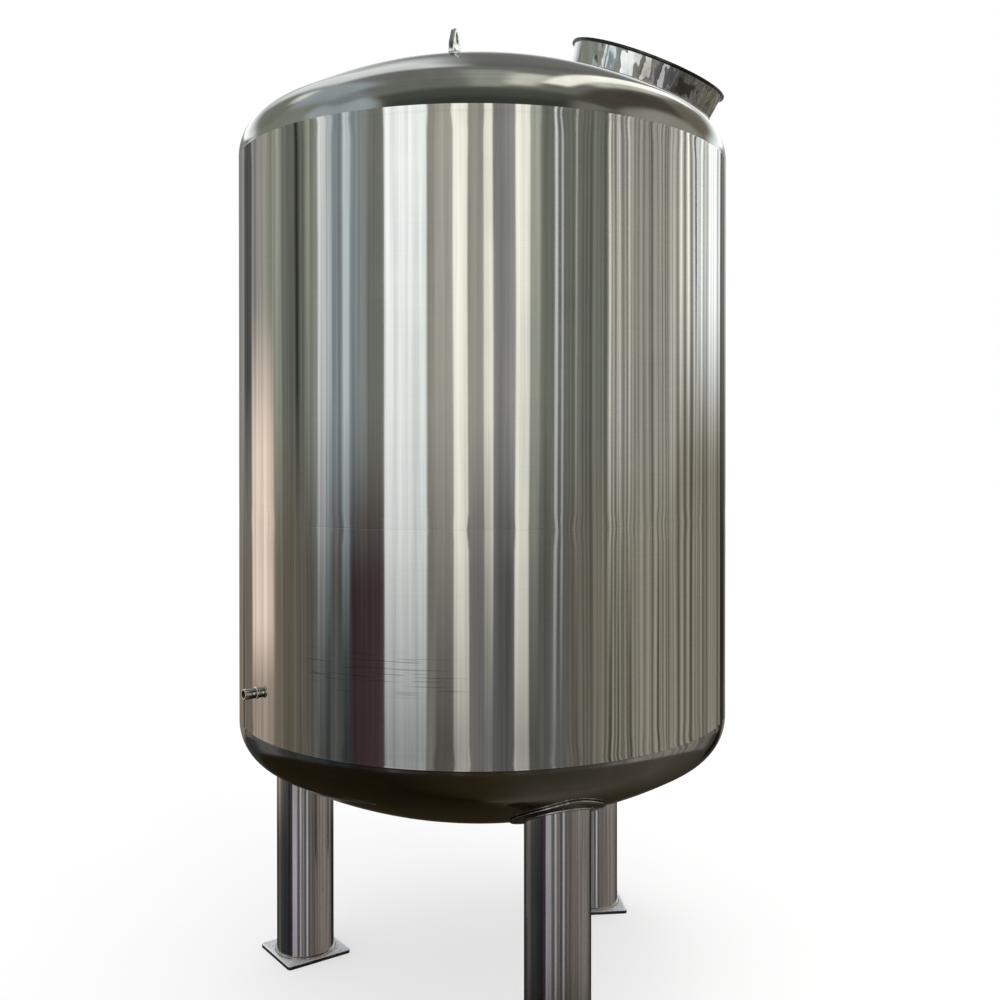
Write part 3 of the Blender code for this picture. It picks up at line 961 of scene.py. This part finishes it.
def make_lugs(steel, weld):
    shape = lug_mesh(steel)
    up = Vector((0.0, 0.0, 1.0))
    corners = ((-1, -1), (1, -1), (1, 1), (-1, 1))
    for side, azimuth in (("front", LUG_AZIMUTH), ("back", LUG_AZIMUTH + 180.0)):
        away = outward(azimuth)
        across = away.cross(up)
        foot = away * LUG_MIDDLE_RADIUS
        foot.z = UPPER_TANGENT + head_height(LUG_MIDDLE_RADIUS)
        turn = Matrix((away, up, across)).transposed().to_4x4()
        mesh = shape.copy()
        mesh.transform(Matrix.Translation(foot) @ turn)
        mesh.name = "lug_" + side
        add_piece("lug_" + side, mesh, "polished_stainless", "lifting_lug_" + side)
        path = []
        for (a, b), (c, d) in zip(corners, corners[1:] + corners[:1]):
            count = LUG_WELD_SPANS["broad" if b == d else "thin"]
            for share in [j / count for j in range(count)]:
                reach = (a + (c - a) * share) * LUG_WIDTH / 2
                aside = (b + (d - b) * share) * LUG_THICKNESS / 2
                point = away * (LUG_MIDDLE_RADIUS + reach) + across * aside
                point.z = UPPER_TANGENT + head_height(hypot(point.x, point.y))
                path.append(point)
        lay_weld("weld_lug_" + side, path, LUG_WELD, weld, depth=0.03, seed=7)
    bpy.data.meshes.remove(shape)


# Legs

def head_under(point, offset):
    """Height of the lower head's outside, moved out by offset, over this point."""
    return LOWER_TANGENT - head_height(hypot(point.x, point.y), offset)


def ring_points(centre, radius, count, height):
    """Points evenly round centre, each at the height that height(point) gives."""
    points = []
    for across, back in circle(count, radius):
        point = centre + Vector((across, back, 0.0))
        point.z = height(point)
        points.append(point)
    return points


def pad_mesh(name, centre, steel):
    """A round pad of even thickness that follows the lower head."""
    edge = []
    for i in range(PAD_EDGE_SPANS + 1):
        drop, reach = polar(PAD_EDGE, radians(90.0 * i / PAD_EDGE_SPANS))
        edge.append((PAD_RADIUS - PAD_EDGE + reach, drop))
    top, bottom = SEAT, SEAT + PAD_THICKNESS
    levels = [(0.0, top), (LEG_RADIUS / 2, top), (LEG_RADIUS, top)]
    levels += [(reach, top + PAD_EDGE - drop) for reach, drop in edge]
    levels += [(reach, bottom - PAD_EDGE + drop) for reach, drop in edge[::-1]]
    levels += [(LEG_RADIUS, bottom), (LEG_RADIUS / 2, bottom), (0.0, bottom)]
    work = bmesh.new()
    rings = []
    for reach, offset in levels:
        count = LEG_STEPS if reach else 1
        points = ring_points(centre, reach, count, lambda point: head_under(point, offset))
        rings.append([work.verts.new(point) for point in points])
    for first, second in zip(rings, rings[1:]):
        for i in range(LEG_STEPS):
            j = (i + 1) % LEG_STEPS
            if len(first) == 1:
                work.faces.new((first[0], second[i], second[j]))
            elif len(second) == 1:
                work.faces.new((first[i], second[0], first[j]))
            else:
                work.faces.new((first[i], second[i], second[j], first[j]))
    bmesh.ops.recalc_face_normals(work, faces=work.faces)
    mesh = bpy.data.meshes.new(name)
    work.to_mesh(mesh)
    work.free()
    smooth(mesh, 50.0)
    mesh.materials.append(steel)
    return mesh


def base_mesh(name, place, centre, steel, shaded_cut_edge):
    """A square plate with round corners and rubbed edges; its sides, left as cut, take painted
    shade.
    """
    mesh = bpy.data.meshes.new(name)
    work = bmesh.new()
    bmesh.ops.create_cube(work, size=1.0)
    bmesh.ops.scale(work, vec=(BASE_SIDE, BASE_SIDE, BASE_THICKNESS), verts=work.verts)
    bmesh.ops.translate(work, vec=(0.0, 0.0, BASE_THICKNESS / 2), verts=work.verts)
    upright = [e for e in work.edges if abs(e.verts[0].co.z - e.verts[1].co.z) > 0.001]
    bmesh.ops.bevel(work, geom=upright, offset=BASE_CORNER, segments=6, profile=0.5, affect="EDGES")
    rim = [e for e in work.edges if e.calc_face_angle() > SHARP_EDGE]
    bmesh.ops.bevel(work, geom=rim, offset=BASE_EDGE, segments=2, profile=0.5, affect="EDGES")
    work.to_mesh(mesh)
    work.free()
    mesh.transform(place)
    smooth(mesh, 35.0)
    mesh.materials.append(steel)
    mesh.materials.append(shaded_cut_edge)
    # Upright faces take the near-black material: partly the cut sides' dark face, partly painted
    # shade
    for face in mesh.polygons:
        face.material_index = int(abs(face.normal.z) < SIDE_FACE)
    where = mesh.attributes.new("leg_centre", "FLOAT_VECTOR", "POINT")
    for item in where.data:
        item.vector = centre
    return mesh


def make_leg(side, azimuth, pipe_steel, pad_steel, plate, shaded_cut_edge, weld, seed):
    centre = outward(azimuth) * LEG_CIRCLE_RADIUS
    turn = Matrix.Rotation(radians(azimuth + 45.0), 4, "Z")
    place = Matrix.Translation(centre) @ turn
    mesh = base_mesh("base_" + side, place, centre, plate, shaded_cut_edge)
    base = add_piece("square_base_" + side, mesh, "mill_finish_plate", "base_plate_" + side)
    base.visible_glossy = False
    mesh = pad_mesh("pad_" + side, centre, pad_steel)
    add_piece("round_pad_" + side, mesh, "drawn_stainless_pipe", "leg_pad_" + side)
    low = BASE_THICKNESS + SEAT
    section = tube_section(LEG_RADIUS, LEG_WALL, low, LEG_TOP)
    mesh = turned("leg_" + side, section, LEG_STEPS, pipe_steel)
    mesh.transform(Matrix.Translation(centre))
    for vertex in mesh.vertices:
        if vertex.co.z > LEG_TOP - LEG_TOP_REACH:
            vertex.co.z = head_under(vertex.co, PAD_THICKNESS + SEAT) - SEAT
    smooth(mesh, 40.0)
    add_piece("pipe_" + side, mesh, "drawn_stainless_pipe", "leg_pipe_" + side)
    beads = {
        "pad_weld_": (PAD_RADIUS, PAD_WELD_DROP, PAD_WELD, pad_steel),
        "top_weld_": (LEG_RADIUS, PAD_THICKNESS + SEAT, TOP_WELD, weld),
    }
    for name, (reach, drop, width, steel) in beads.items():
        path = ring_points(centre, reach, LEG_WELD_POINTS, lambda point: head_under(point, drop))
        lay_weld(name + side, path, width, steel, depth=0.04, seed=seed)
    reach, level = LEG_RADIUS + FOOT_WELD_OUT, low + FOOT_WELD_OUT
    path = ring_points(centre, reach, LEG_WELD_POINTS, lambda point: level)
    name = "run_foot_weld_" + side
    lay_weld(name, path, FOOT_WELD, weld, "foot_weld_" + side, pitch=0.0032, seed=seed)


# Level tapping

def make_tapping(steel, dark, weld):
    away = outward(TAPPING_AZIMUTH)
    level = LOWER_TANGENT + TAPPING_HEIGHT
    place = facing(away, level)
    stub_end = SHELL_RADIUS + TAPPING_STUB
    collar_end = stub_end + SEAT + COLLAR_LENGTH
    pipe_end = collar_end + SEAT + TAPPING_PIPE
    lengths = (
        ("stub", TAPPING_RADIUS, SHELL_RADIUS - TAPPING_SINK, stub_end, 0.0004),
        ("collar", COLLAR_RADIUS, stub_end + SEAT, collar_end, 0.0009),
        ("pipe", TAPPING_RADIUS, collar_end + SEAT, pipe_end, 0.0008),
    )
    for name, radius, low, high, corner in lengths:
        section = rounded_section(TAPPING_BORE, radius, low, high, corner, spans=3)
        mesh = turned("tapping_" + name, section, TAPPING_STEPS, steel)
        # The bore's faces take the near-black material: painted shade down inside the pipe
        mesh.materials.append(dark)
        for face in mesh.polygons:
            in_bore = face.center.xy.length < TAPPING_BORE + TAPPING_BORE_REACH
            face.material_index = int(in_bore)
        mesh.transform(place)
        smooth(mesh, 50.0)
        piece = add_piece("tapping_" + name, mesh, "polished_stainless", "level_tapping_" + name)
        piece.visible_glossy = False
    side = away.cross(Vector((0.0, 0.0, 1.0)))
    path = []
    for across, up in circle(TAPPING_WELD_POINTS, TAPPING_RADIUS):
        point = away * sqrt(SHELL_RADIUS**2 - across**2) + side * across
        point.z = level + up
        path.append(point)
    bead = lay_weld("tapping_weld", path, TAPPING_WELD, weld, pitch=0.0022, seed=11)
    bead.visible_glossy = False


# Studio

# Paints and lights of the studio that the steel mirrors, each at full brightness
PAINTS = {
    "daylight": (0.95, 1.00, 0.99),
    "lamp": (1.00, 1.00, 0.90),
    "blue": (0.84, 0.96, 1.00),
    "plaster": (1.00, 0.98, 0.87),
    "sage": (0.94, 1.00, 0.84),
    "grey": (1.00, 1.00, 0.96),
    "clay": (1.00, 0.86, 0.66),
    "maroon": (1.00, 0.62, 0.63),
    "beige": (1.00, 0.82, 0.69),
    "umber": (1.00, 0.72, 0.36),
    "sand": (1.00, 0.92, 0.74),
    "mist": (1.00, 0.97, 1.10),
    "slate": (0.82, 0.98, 1.20),
}

# Upright panels: azimuth, half width, soft edge, paint, brightness, and the share that is
# left of them near the floor
PANELS = (
    (-146.0, 1.3, 0.9, "grey", 0.42, 0.3),
    (-137.8, 6.0, 0.8, "grey", 0.11, 0.0),
    (-105.5, 1.8, 0.8, "sage", 0.49, 0.0),
    (-91.2, 1.1, 0.9, "sage", 0.04, 0.0),
    (-84.2, 1.5, 0.7, "sage", 0.46, 0.0),
    (-76.4, 2.5, 0.7, "daylight", 1.06, 0.35),
    (-72.6, 1.3, 0.8, "blue", 0.86, 0.25),
    (-63.2, 1.9, 0.8, "blue", 0.98, 0.20),
    (-34.7, 9.4, 0.4, "daylight", 1.50, 1.0),
    (-17.6, 3.9, 0.8, "plaster", 0.58, 0.7),
    (-10.4, 3.2, 0.3, "lamp", 1.50, 1.2),
    (1.6, 2.0, 0.3, "lamp", 1.46, 0.6),
    (16.6, 3.1, 0.3, "lamp", 1.38, 1.4),
    (21.9, 1.9, 0.8, "sage", 0.60, 0.8),
    (31.3, 0.7, 0.3, "daylight", 1.22, 0.9),
    (34.3, 0.5, 0.3, "daylight", 0.97, 0.7),
    (41.2, 0.4, 0.3, "plaster", 0.66, 0.5),
    (57.9, 0.8, 0.3, "plaster", 0.92, 0.3),
    (62.3, 0.5, 0.3, "grey", 0.78, 0.3),
    (68.3, 0.6, 0.3, "plaster", 0.80, 0.3),
    (77.0, 0.5, 0.4, "plaster", 0.57, 0.0),
    (84.2, 0.5, 0.4, "lamp", 0.82, 0.2),
    (99.6, 1.3, 0.5, "lamp", 1.06, 0.0),
    (106.0, 0.7, 0.4, "lamp", 1.15, 0.0),
    (112.6, 0.9, 0.5, "grey", 0.16, 0.0),
    (119.6, 1.2, 0.6, "lamp", 1.40, 0.0),
    (149.5, 5.6, 1.0, "grey", 0.19, 0.4),
)

# Share of a panel's light left at each elevation in degrees, and how far its curve reaches
PANEL_FADE = (
    (-27.0, 0.36), (-19.0, 0.42), (-15.5, 0.26), (-12.0, 0.41), (-7.5, 0.57), (-3.6, 0.73),
    (2.0, 0.86), (9.0, 0.97), (16.0, 1.0),
)
FADE_REACH = 30.0
# Elevations between which a panel loses light to the floor, and between which one that
# is left out near the floor comes in
NEAR_FLOOR = (2.0, -11.0)
HIGH_PANEL_FROM = (-5.0, 3.0)

# Walls between the panels, by azimuth: above eye height, and near the floor
UPPER_WALLS = (
    (-180.0, "grey", 0.45), (-158.0, "grey", 0.24), (-128.0, "grey", 0.34),
    (-121.0, "plaster", 0.45), (-109.0, "sage", 0.38), (-96.0, "sage", 0.19),
    (-88.0, "sage", 0.18), (-80.0, "sage", 0.34), (-68.0, "blue", 0.40), (-58.0, "blue", 0.40),
    (-50.0, "sage", 0.27), (-24.0, "plaster", 0.44), (-4.0, "plaster", 0.46),
    (7.0, "grey", 0.28), (12.0, "grey", 0.50), (27.0, "sage", 0.23), (55.0, "sage", 0.22),
    (61.0, "plaster", 0.56), (70.0, "plaster", 0.52), (74.0, "plaster", 0.34),
    (92.0, "plaster", 0.50), (102.0, "plaster", 0.76), (118.0, "daylight", 1.02),
    (132.0, "daylight", 1.34), (142.0, "daylight", 1.34), (158.0, "grey", 0.50),
    (180.0, "grey", 0.45),
)
LOWER_WALLS = (
    (-180.0, "clay", 0.28), (-140.0, "clay", 0.21), (-110.0, "clay", 0.24),
    (-98.0, "clay", 0.19), (-76.0, "grey", 0.14), (-64.0, "grey", 0.10),
    (-61.0, "maroon", 0.066), (-47.0, "maroon", 0.070), (-22.0, "plaster", 0.25),
    (-14.0, "clay", 0.18), (-4.0, "grey", 0.22), (8.0, "grey", 0.13), (28.0, "plaster", 0.15),
    (50.0, "sand", 0.21), (62.0, "sand", 0.34), (85.0, "sand", 0.33), (112.0, "sand", 0.30),
    (140.0, "sand", 0.30), (180.0, "clay", 0.28),
)
LOWER_WALL_FROM = (3.0, -8.0)
# The wall on the right turns dark higher up
RIGHT_WALL_LIFT = 6.0
RIGHT_WALL_FROM = (88.0, 104.0)

# How much of the light is left below the walls, by azimuth, and the floor under it
SKIRTING = (
    (-180.0, "mist", 0.14), (-140.0, "slate", 0.25), (-62.0, "slate", 0.34),
    (-52.0, "mist", 0.88), (118.0, "mist", 0.88), (140.0, "mist", 0.25), (180.0, "mist", 0.14),
)
FLOOR_LIGHT = (
    (-180.0, "umber", 0.022), (-50.0, "umber", 0.014), (0.0, "umber", 0.040),
    (45.0, "clay", 0.062), (100.0, "clay", 0.092), (180.0, "umber", 0.022),
)
SKIRTING_START = (-16.6, -18.6)
FLOOR_START = (-25.4, -27.2)

# Ceiling, from the front wall at 0 over the top to the back wall at 180
CEILING = (
    (0.0, "sage", 0.10), (30.0, "sage", 0.055), (40.0, "sage", 0.095), (52.0, "sage", 0.110),
    (60.0, "sage", 0.24), (110.0, "grey", 0.24), (146.0, "grey", 0.24),
    (158.0, "daylight", 1.40), (180.0, "daylight", 1.50),
)
# Lights and bays of the ceiling: sideways share of the direction, half width, soft edge,
# place along the ceiling, half length, soft edge, paint, brightness
CEILING_BAYS = (
    (0.05, 0.20, 0.08, 135.0, 20.0, 6.0, "grey", 0.18),
    (-0.93, 0.14, 0.05, 58.0, 30.0, 8.0, "blue", 0.55),
    (-0.90, 0.18, 0.05, 132.0, 42.0, 8.0, "sage", 0.30),
    (-0.76, 0.10, 0.05, 50.0, 15.0, 6.0, "blue", 0.55),
    (-0.72, 0.10, 0.05, 77.0, 13.0, 6.0, "blue", 0.34),
    (-0.62, 0.15, 0.06, 101.0, 18.0, 6.0, "blue", 0.50),
    (-0.66, 0.13, 0.05, 135.0, 13.0, 4.0, "sage", 0.26),
    (-0.60, 0.06, 0.04, 121.0, 4.0, 3.0, "daylight", 1.05),
    (-0.27, 0.20, 0.06, 131.0, 16.0, 5.0, "daylight", 0.98),
    (0.02, 0.10, 0.05, 79.0, 22.0, 4.0, "sage", 0.44),
    (0.20, 0.08, 0.05, 79.0, 16.0, 5.0, "plaster", 0.88),
    (0.36, 0.075, 0.02, 111.0, 37.0, 4.0, "lamp", 1.56),
    (0.47, 0.045, 0.03, 111.0, 20.0, 6.0, "plaster", 0.78),
    (0.69, 0.15, 0.05, 89.0, 36.0, 5.0, "clay", 0.105),
    (0.70, 0.15, 0.05, 137.0, 12.0, 5.0, "clay", 0.22),
    (0.82, 0.24, 0.06, 32.0, 14.0, 4.0, "plaster", 0.26),
    (0.94, 0.12, 0.05, 100.0, 60.0, 20.0, "plaster", 0.42),
)
CEILING_START = 18.0
CEILING_EDGE = 0.6
RIGHT_CEILING_DROP = 1.3
CEILING_DROP_FROM = (30.0, 52.0)

# Beige wall: azimuth, half width, soft edge, brightness; then the elevations between
# which its top and its foot fade, and the share left at the foot
BEIGE_WALL = (-120.0, 10.5, 2.0, 1.16)
BEIGE_TOP = (8.0, -1.0)
BEIGE_FOOT = (-12.4, -8.4)
BEIGE_LEFT = 0.30

# How deep the fine upright lines are, by azimuth, and how many there are
LINE_DEPTH = (
    (-180.0, "grey", 0.16), (-60.0, "grey", 0.16), (-45.0, "grey", 0.04), (24.0, "grey", 0.06),
    (45.0, "grey", 0.26), (60.0, "grey", 0.56), (135.0, "grey", 0.52), (160.0, "grey", 0.15),
)
LINE_SCALE = 72.0
# Extra white light, on what isn't mirrored
DAYLIGHT_FILL = 0.06

FLOOR_REACH = 30.0
FLOOR_TONES = ((0.44, 0.44, 0.44), (0.46, 0.46, 0.46))
FLOOR_GLOW = 1.2

LAMP_PLACE = (1.2, -1.6, 5.2)
LAMP_AIM = (0.0, 0.0, 1.0)
LAMP_SIDE = 3.2
LAMP_POWER = 60.0
LAMP_COLOUR = (1.0, 0.985, 0.95)


def paint(name, brightness):
    return tuple(channel * brightness for channel in PAINTS[name])


def painted(tree, value, stops, low=-180.0, high=180.0):
    """Colour along a wall or ceiling that runs from low to high."""
    places = [((place - low) / (high - low), paint(name, light)) for place, name, light in stops]
    return tree.ramp(tree.remap(value, low, high), places)


def soft_panel(tree, value, centre, half, edge):
    """One panel's share at this place along a wall or ceiling."""
    away = tree.math("ABSOLUTE", tree.less(value, centre))
    return tree.ease(away, half + edge, half - edge)


def panel_fade(tree, level):
    """Share of a panel's light at this level, along the points of PANEL_FADE."""
    node = tree.node("ShaderNodeFloatCurve", {"Value": tree.remap(level, -FADE_REACH, FADE_REACH)})
    curve = node.mapping.curves[0]
    curve.points[0].location = (0.0, PANEL_FADE[0][1])
    curve.points[1].location = (1.0, PANEL_FADE[-1][1])
    for place, share in PANEL_FADE:
        curve.points.new((place + FADE_REACH) / (2 * FADE_REACH), share)
    for point in curve.points:
        point.handle_type = "VECTOR"
    node.mapping.update()
    return node.outputs[0]


def studio_walls(tree, azimuth, elevation):
    """Walls and upright panels, with the fine upright lines that a rolled plate draws."""
    lift = tree.ease(azimuth, *RIGHT_WALL_FROM, 0.0, RIGHT_WALL_LIFT)
    level = tree.less(elevation, lift)
    upper = painted(tree, azimuth, UPPER_WALLS)
    lower = painted(tree, azimuth, LOWER_WALLS)
    colour = tree.mix(tree.ease(level, *LOWER_WALL_FROM), upper, lower)
    fade = panel_fade(tree, level)
    near_floor = tree.remap(level, *NEAR_FLOOR)
    seen = tree.remap(level, *HIGH_PANEL_FROM)
    for centre, half, edge, name, light, left in PANELS:
        share = soft_panel(tree, azimuth, centre, half, edge)
        kept = fade
        if left:
            kept = tree.times(fade, tree.remap(near_floor, 0.0, 1.0, 1.0, left))
        else:
            share = tree.times(share, seen)
        colour = tree.mix(share, colour, tree.scaled(paint(name, light), kept))
    centre, half, edge, light = BEIGE_WALL
    share = soft_panel(tree, azimuth, centre, half, edge)
    near = tree.ease(elevation, *BEIGE_FOOT, BEIGE_LEFT, 1.0)
    near = tree.times(tree.ease(elevation, *BEIGE_TOP), near)
    colour = tree.mix(tree.times(share, near), colour, paint("beige", light))
    across = tree.math("SINE", tree.math("RADIANS", tree.times(azimuth, 0.5)))
    fine = tree.noise(tree.join(X=across), LINE_SCALE, 1.5, 0.6)
    depth = painted(tree, azimuth, LINE_DEPTH)
    lines = tree.math("MULTIPLY_ADD", tree.ease(fine, 0.40, 0.60, -1.0, 1.0), depth, 1.0)
    return tree.scaled(colour, lines)


def studio_ceiling(tree, way, back):
    over = tree.degrees(way["Z"], back)
    colour = painted(tree, over, CEILING, 0.0, 180.0)
    for side, half, edge, place, length, end, name, light in CEILING_BAYS:
        share = soft_panel(tree, way["X"], side, half, edge)
        share = tree.times(share, soft_panel(tree, over, place, length, end))
        colour = tree.mix(share, colour, paint(name, light))
    return colour


def make_world():
    """Plain white light, with a painted studio that only the polished steel mirrors."""
    world = bpy.data.worlds.new("studio")
    bpy.context.scene.world = world
    world.use_nodes = True
    world.cycles.sampling_method = "NONE"
    tree = Tree(world.node_tree)
    tree.nodes.clear()
    way = tree.split(tree.node("ShaderNodeTexCoord").outputs["Generated"])
    back = tree.times(way["Y"], -1.0)
    azimuth = tree.degrees(way["X"], back)
    elevation = tree.math("DEGREES", tree.math("ARCSINE", way["Z"]))
    colour = studio_walls(tree, azimuth, elevation)
    drop = tree.ease(azimuth, *CEILING_DROP_FROM, 0.0, RIGHT_CEILING_DROP)
    above = tree.less(tree.plus(elevation, drop), CEILING_START)
    above = tree.remap(above, -CEILING_EDGE, CEILING_EDGE)
    colour = tree.mix(above, colour, studio_ceiling(tree, way, back))
    skirting = tree.mix(1.0, colour, painted(tree, azimuth, SKIRTING), "MULTIPLY")
    colour = tree.mix(tree.remap(elevation, *SKIRTING_START), colour, skirting)
    floor = painted(tree, azimuth, FLOOR_LIGHT)
    colour = tree.mix(tree.remap(elevation, *FLOOR_START), colour, floor)
    studio = tree.node("ShaderNodeBackground", {"Color": colour, "Strength": 1.0})
    path = tree.node("ShaderNodeLightPath").outputs
    strength = tree.math("MULTIPLY_ADD", path["Is Diffuse Ray"], DAYLIGHT_FILL, 1.0)
    keys = {"Color": (1.0, 1.0, 1.0), "Strength": strength}
    plain = tree.node("ShaderNodeBackground", keys)
    unmirrored = tree.math("MAXIMUM", path["Is Camera Ray"], path["Is Diffuse Ray"])
    keys = {0: unmirrored, 1: studio.outputs[0], 2: plain.outputs[0]}
    lit = tree.node("ShaderNodeMixShader", keys)
    tree.node("ShaderNodeOutputWorld", {"Surface": lit.outputs[0]})


def make_floor():
    mesh = bpy.data.meshes.new("floor")
    work = bmesh.new()
    bmesh.ops.create_grid(work, x_segments=1, y_segments=1, size=FLOOR_REACH)
    work.to_mesh(mesh)
    work.free()
    material, tree, shader, place = new_material("pale_floor", metallic=0.0)
    colour = tree.mix(tree.noise(place, 0.8), *FLOOR_TONES)
    tree.put(shader.inputs["Base Color"], colour)
    tree.put(shader.inputs["Emission Color"], colour)
    shader.inputs["Emission Strength"].default_value = FLOOR_GLOW
    shader.inputs["Roughness"].default_value = 0.9
    shader.inputs["Specular IOR Level"].default_value = 0.0
    mesh.materials.append(material)
    floor = new_object("floor", mesh)
    floor.visible_glossy = False


def make_lights():
    light = bpy.data.lights.new("overhead_softbox", "AREA")
    light.shape = "SQUARE"
    light.size = LAMP_SIDE
    light.energy = LAMP_POWER
    light.color = LAMP_COLOUR
    lamp = new_object("overhead_softbox", light)
    lamp.location = LAMP_PLACE
    aim = Vector(LAMP_AIM) - lamp.location
    lamp.rotation_euler = aim.to_track_quat("-Z", "Y").to_euler()
    lamp.visible_camera = False
    lamp.visible_glossy = False


def make_camera():
    data = bpy.data.cameras.new("camera")
    data.lens = CAMERA_LENS
    data.sensor_width = CAMERA_SENSOR
    data.shift_x, data.shift_y = CAMERA_SHIFT
    data.clip_end = 200.0
    camera = new_object("camera", data)
    camera.location = CAMERA_PLACE
    camera.rotation_euler = (radians(90.0 + CAMERA_PITCH), 0.0, radians(-CAMERA_YAW))
    bpy.context.scene.camera = camera


TURNED_WALL = turned_wall_tree()
WELD_RUN = weld_run_tree()

shell_steel = brushed_steel(
    "shell_polish", (0.64, 0.64, 0.63), 0.060, 0.7, (3.0, 3.0, 700.0), (60.0, 60.0, 0.7)
)
add_scuffs(shell_steel)
dome_steel = head_steel("head_polish", (0.62, 0.62, 0.61), 0.10)
neck_steel = brushed_steel(
    "neck_polish", (0.80, 0.805, 0.80), 0.04, 0.0,
    (9.0, 9.0, 500.0), (30.0, 30.0, 3.0), waves=0.0010,
)
dent_and_shade_neck(neck_steel)
tapping_steel = brushed_steel(
    "tapping_polish", (0.82, 0.82, 0.80), 0.06, 0.0, (60.0, 60.0, 300.0), (40.0, 40.0, 40.0)
)
pipe_steel = brushed_steel(
    "leg_pipe_satin", (0.66, 0.65, 0.655), 0.11, 0.7,
    (420.0, 420.0, 2.0), (90.0, 90.0, 1.5), stain=0.14,
)
lug_steel = brushed_steel(
    "lug_satin", (0.66, 0.66, 0.65), 0.16, 0.0, (30.0, 30.0, 400.0), (40.0, 40.0, 6.0)
)
mill_plate = plate_steel("mill_plate")
# Near-black painted shade, for the lip, the tapping's bore and the base plates' sides
painted_shade_steel = painted_shade_satin("painted_shade_satin")
seam_polish = brushed_steel(
    "seam_polish", (0.63, 0.63, 0.62), 0.070, 0.7, (3.0, 3.0, 900.0), (60.0, 60.0, 0.7)
)
polished_weld = weld_metal("polished_weld", (0.64, 0.64, 0.62), (0.52, 0.48, 0.42), 0.18)
rippled_weld = weld_metal("rippled_weld", (0.62, 0.61, 0.59), (0.44, 0.38, 0.32), 0.26)

make_body(shell_steel, dome_steel, seam_polish)
make_manhole(neck_steel, painted_shade_steel, polished_weld)
make_lugs(lug_steel, rippled_weld)
for seed, (side, azimuth) in enumerate(LEG_AZIMUTHS.items(), start=20):
    make_leg(side, azimuth, pipe_steel, dome_steel, mill_plate, painted_shade_steel, rippled_weld, seed)
make_tapping(tapping_steel, painted_shade_steel, rippled_weld)
make_world()
make_floor()
make_lights()
make_camera()
bpy.context.scene.view_settings.view_transform = "Standard"
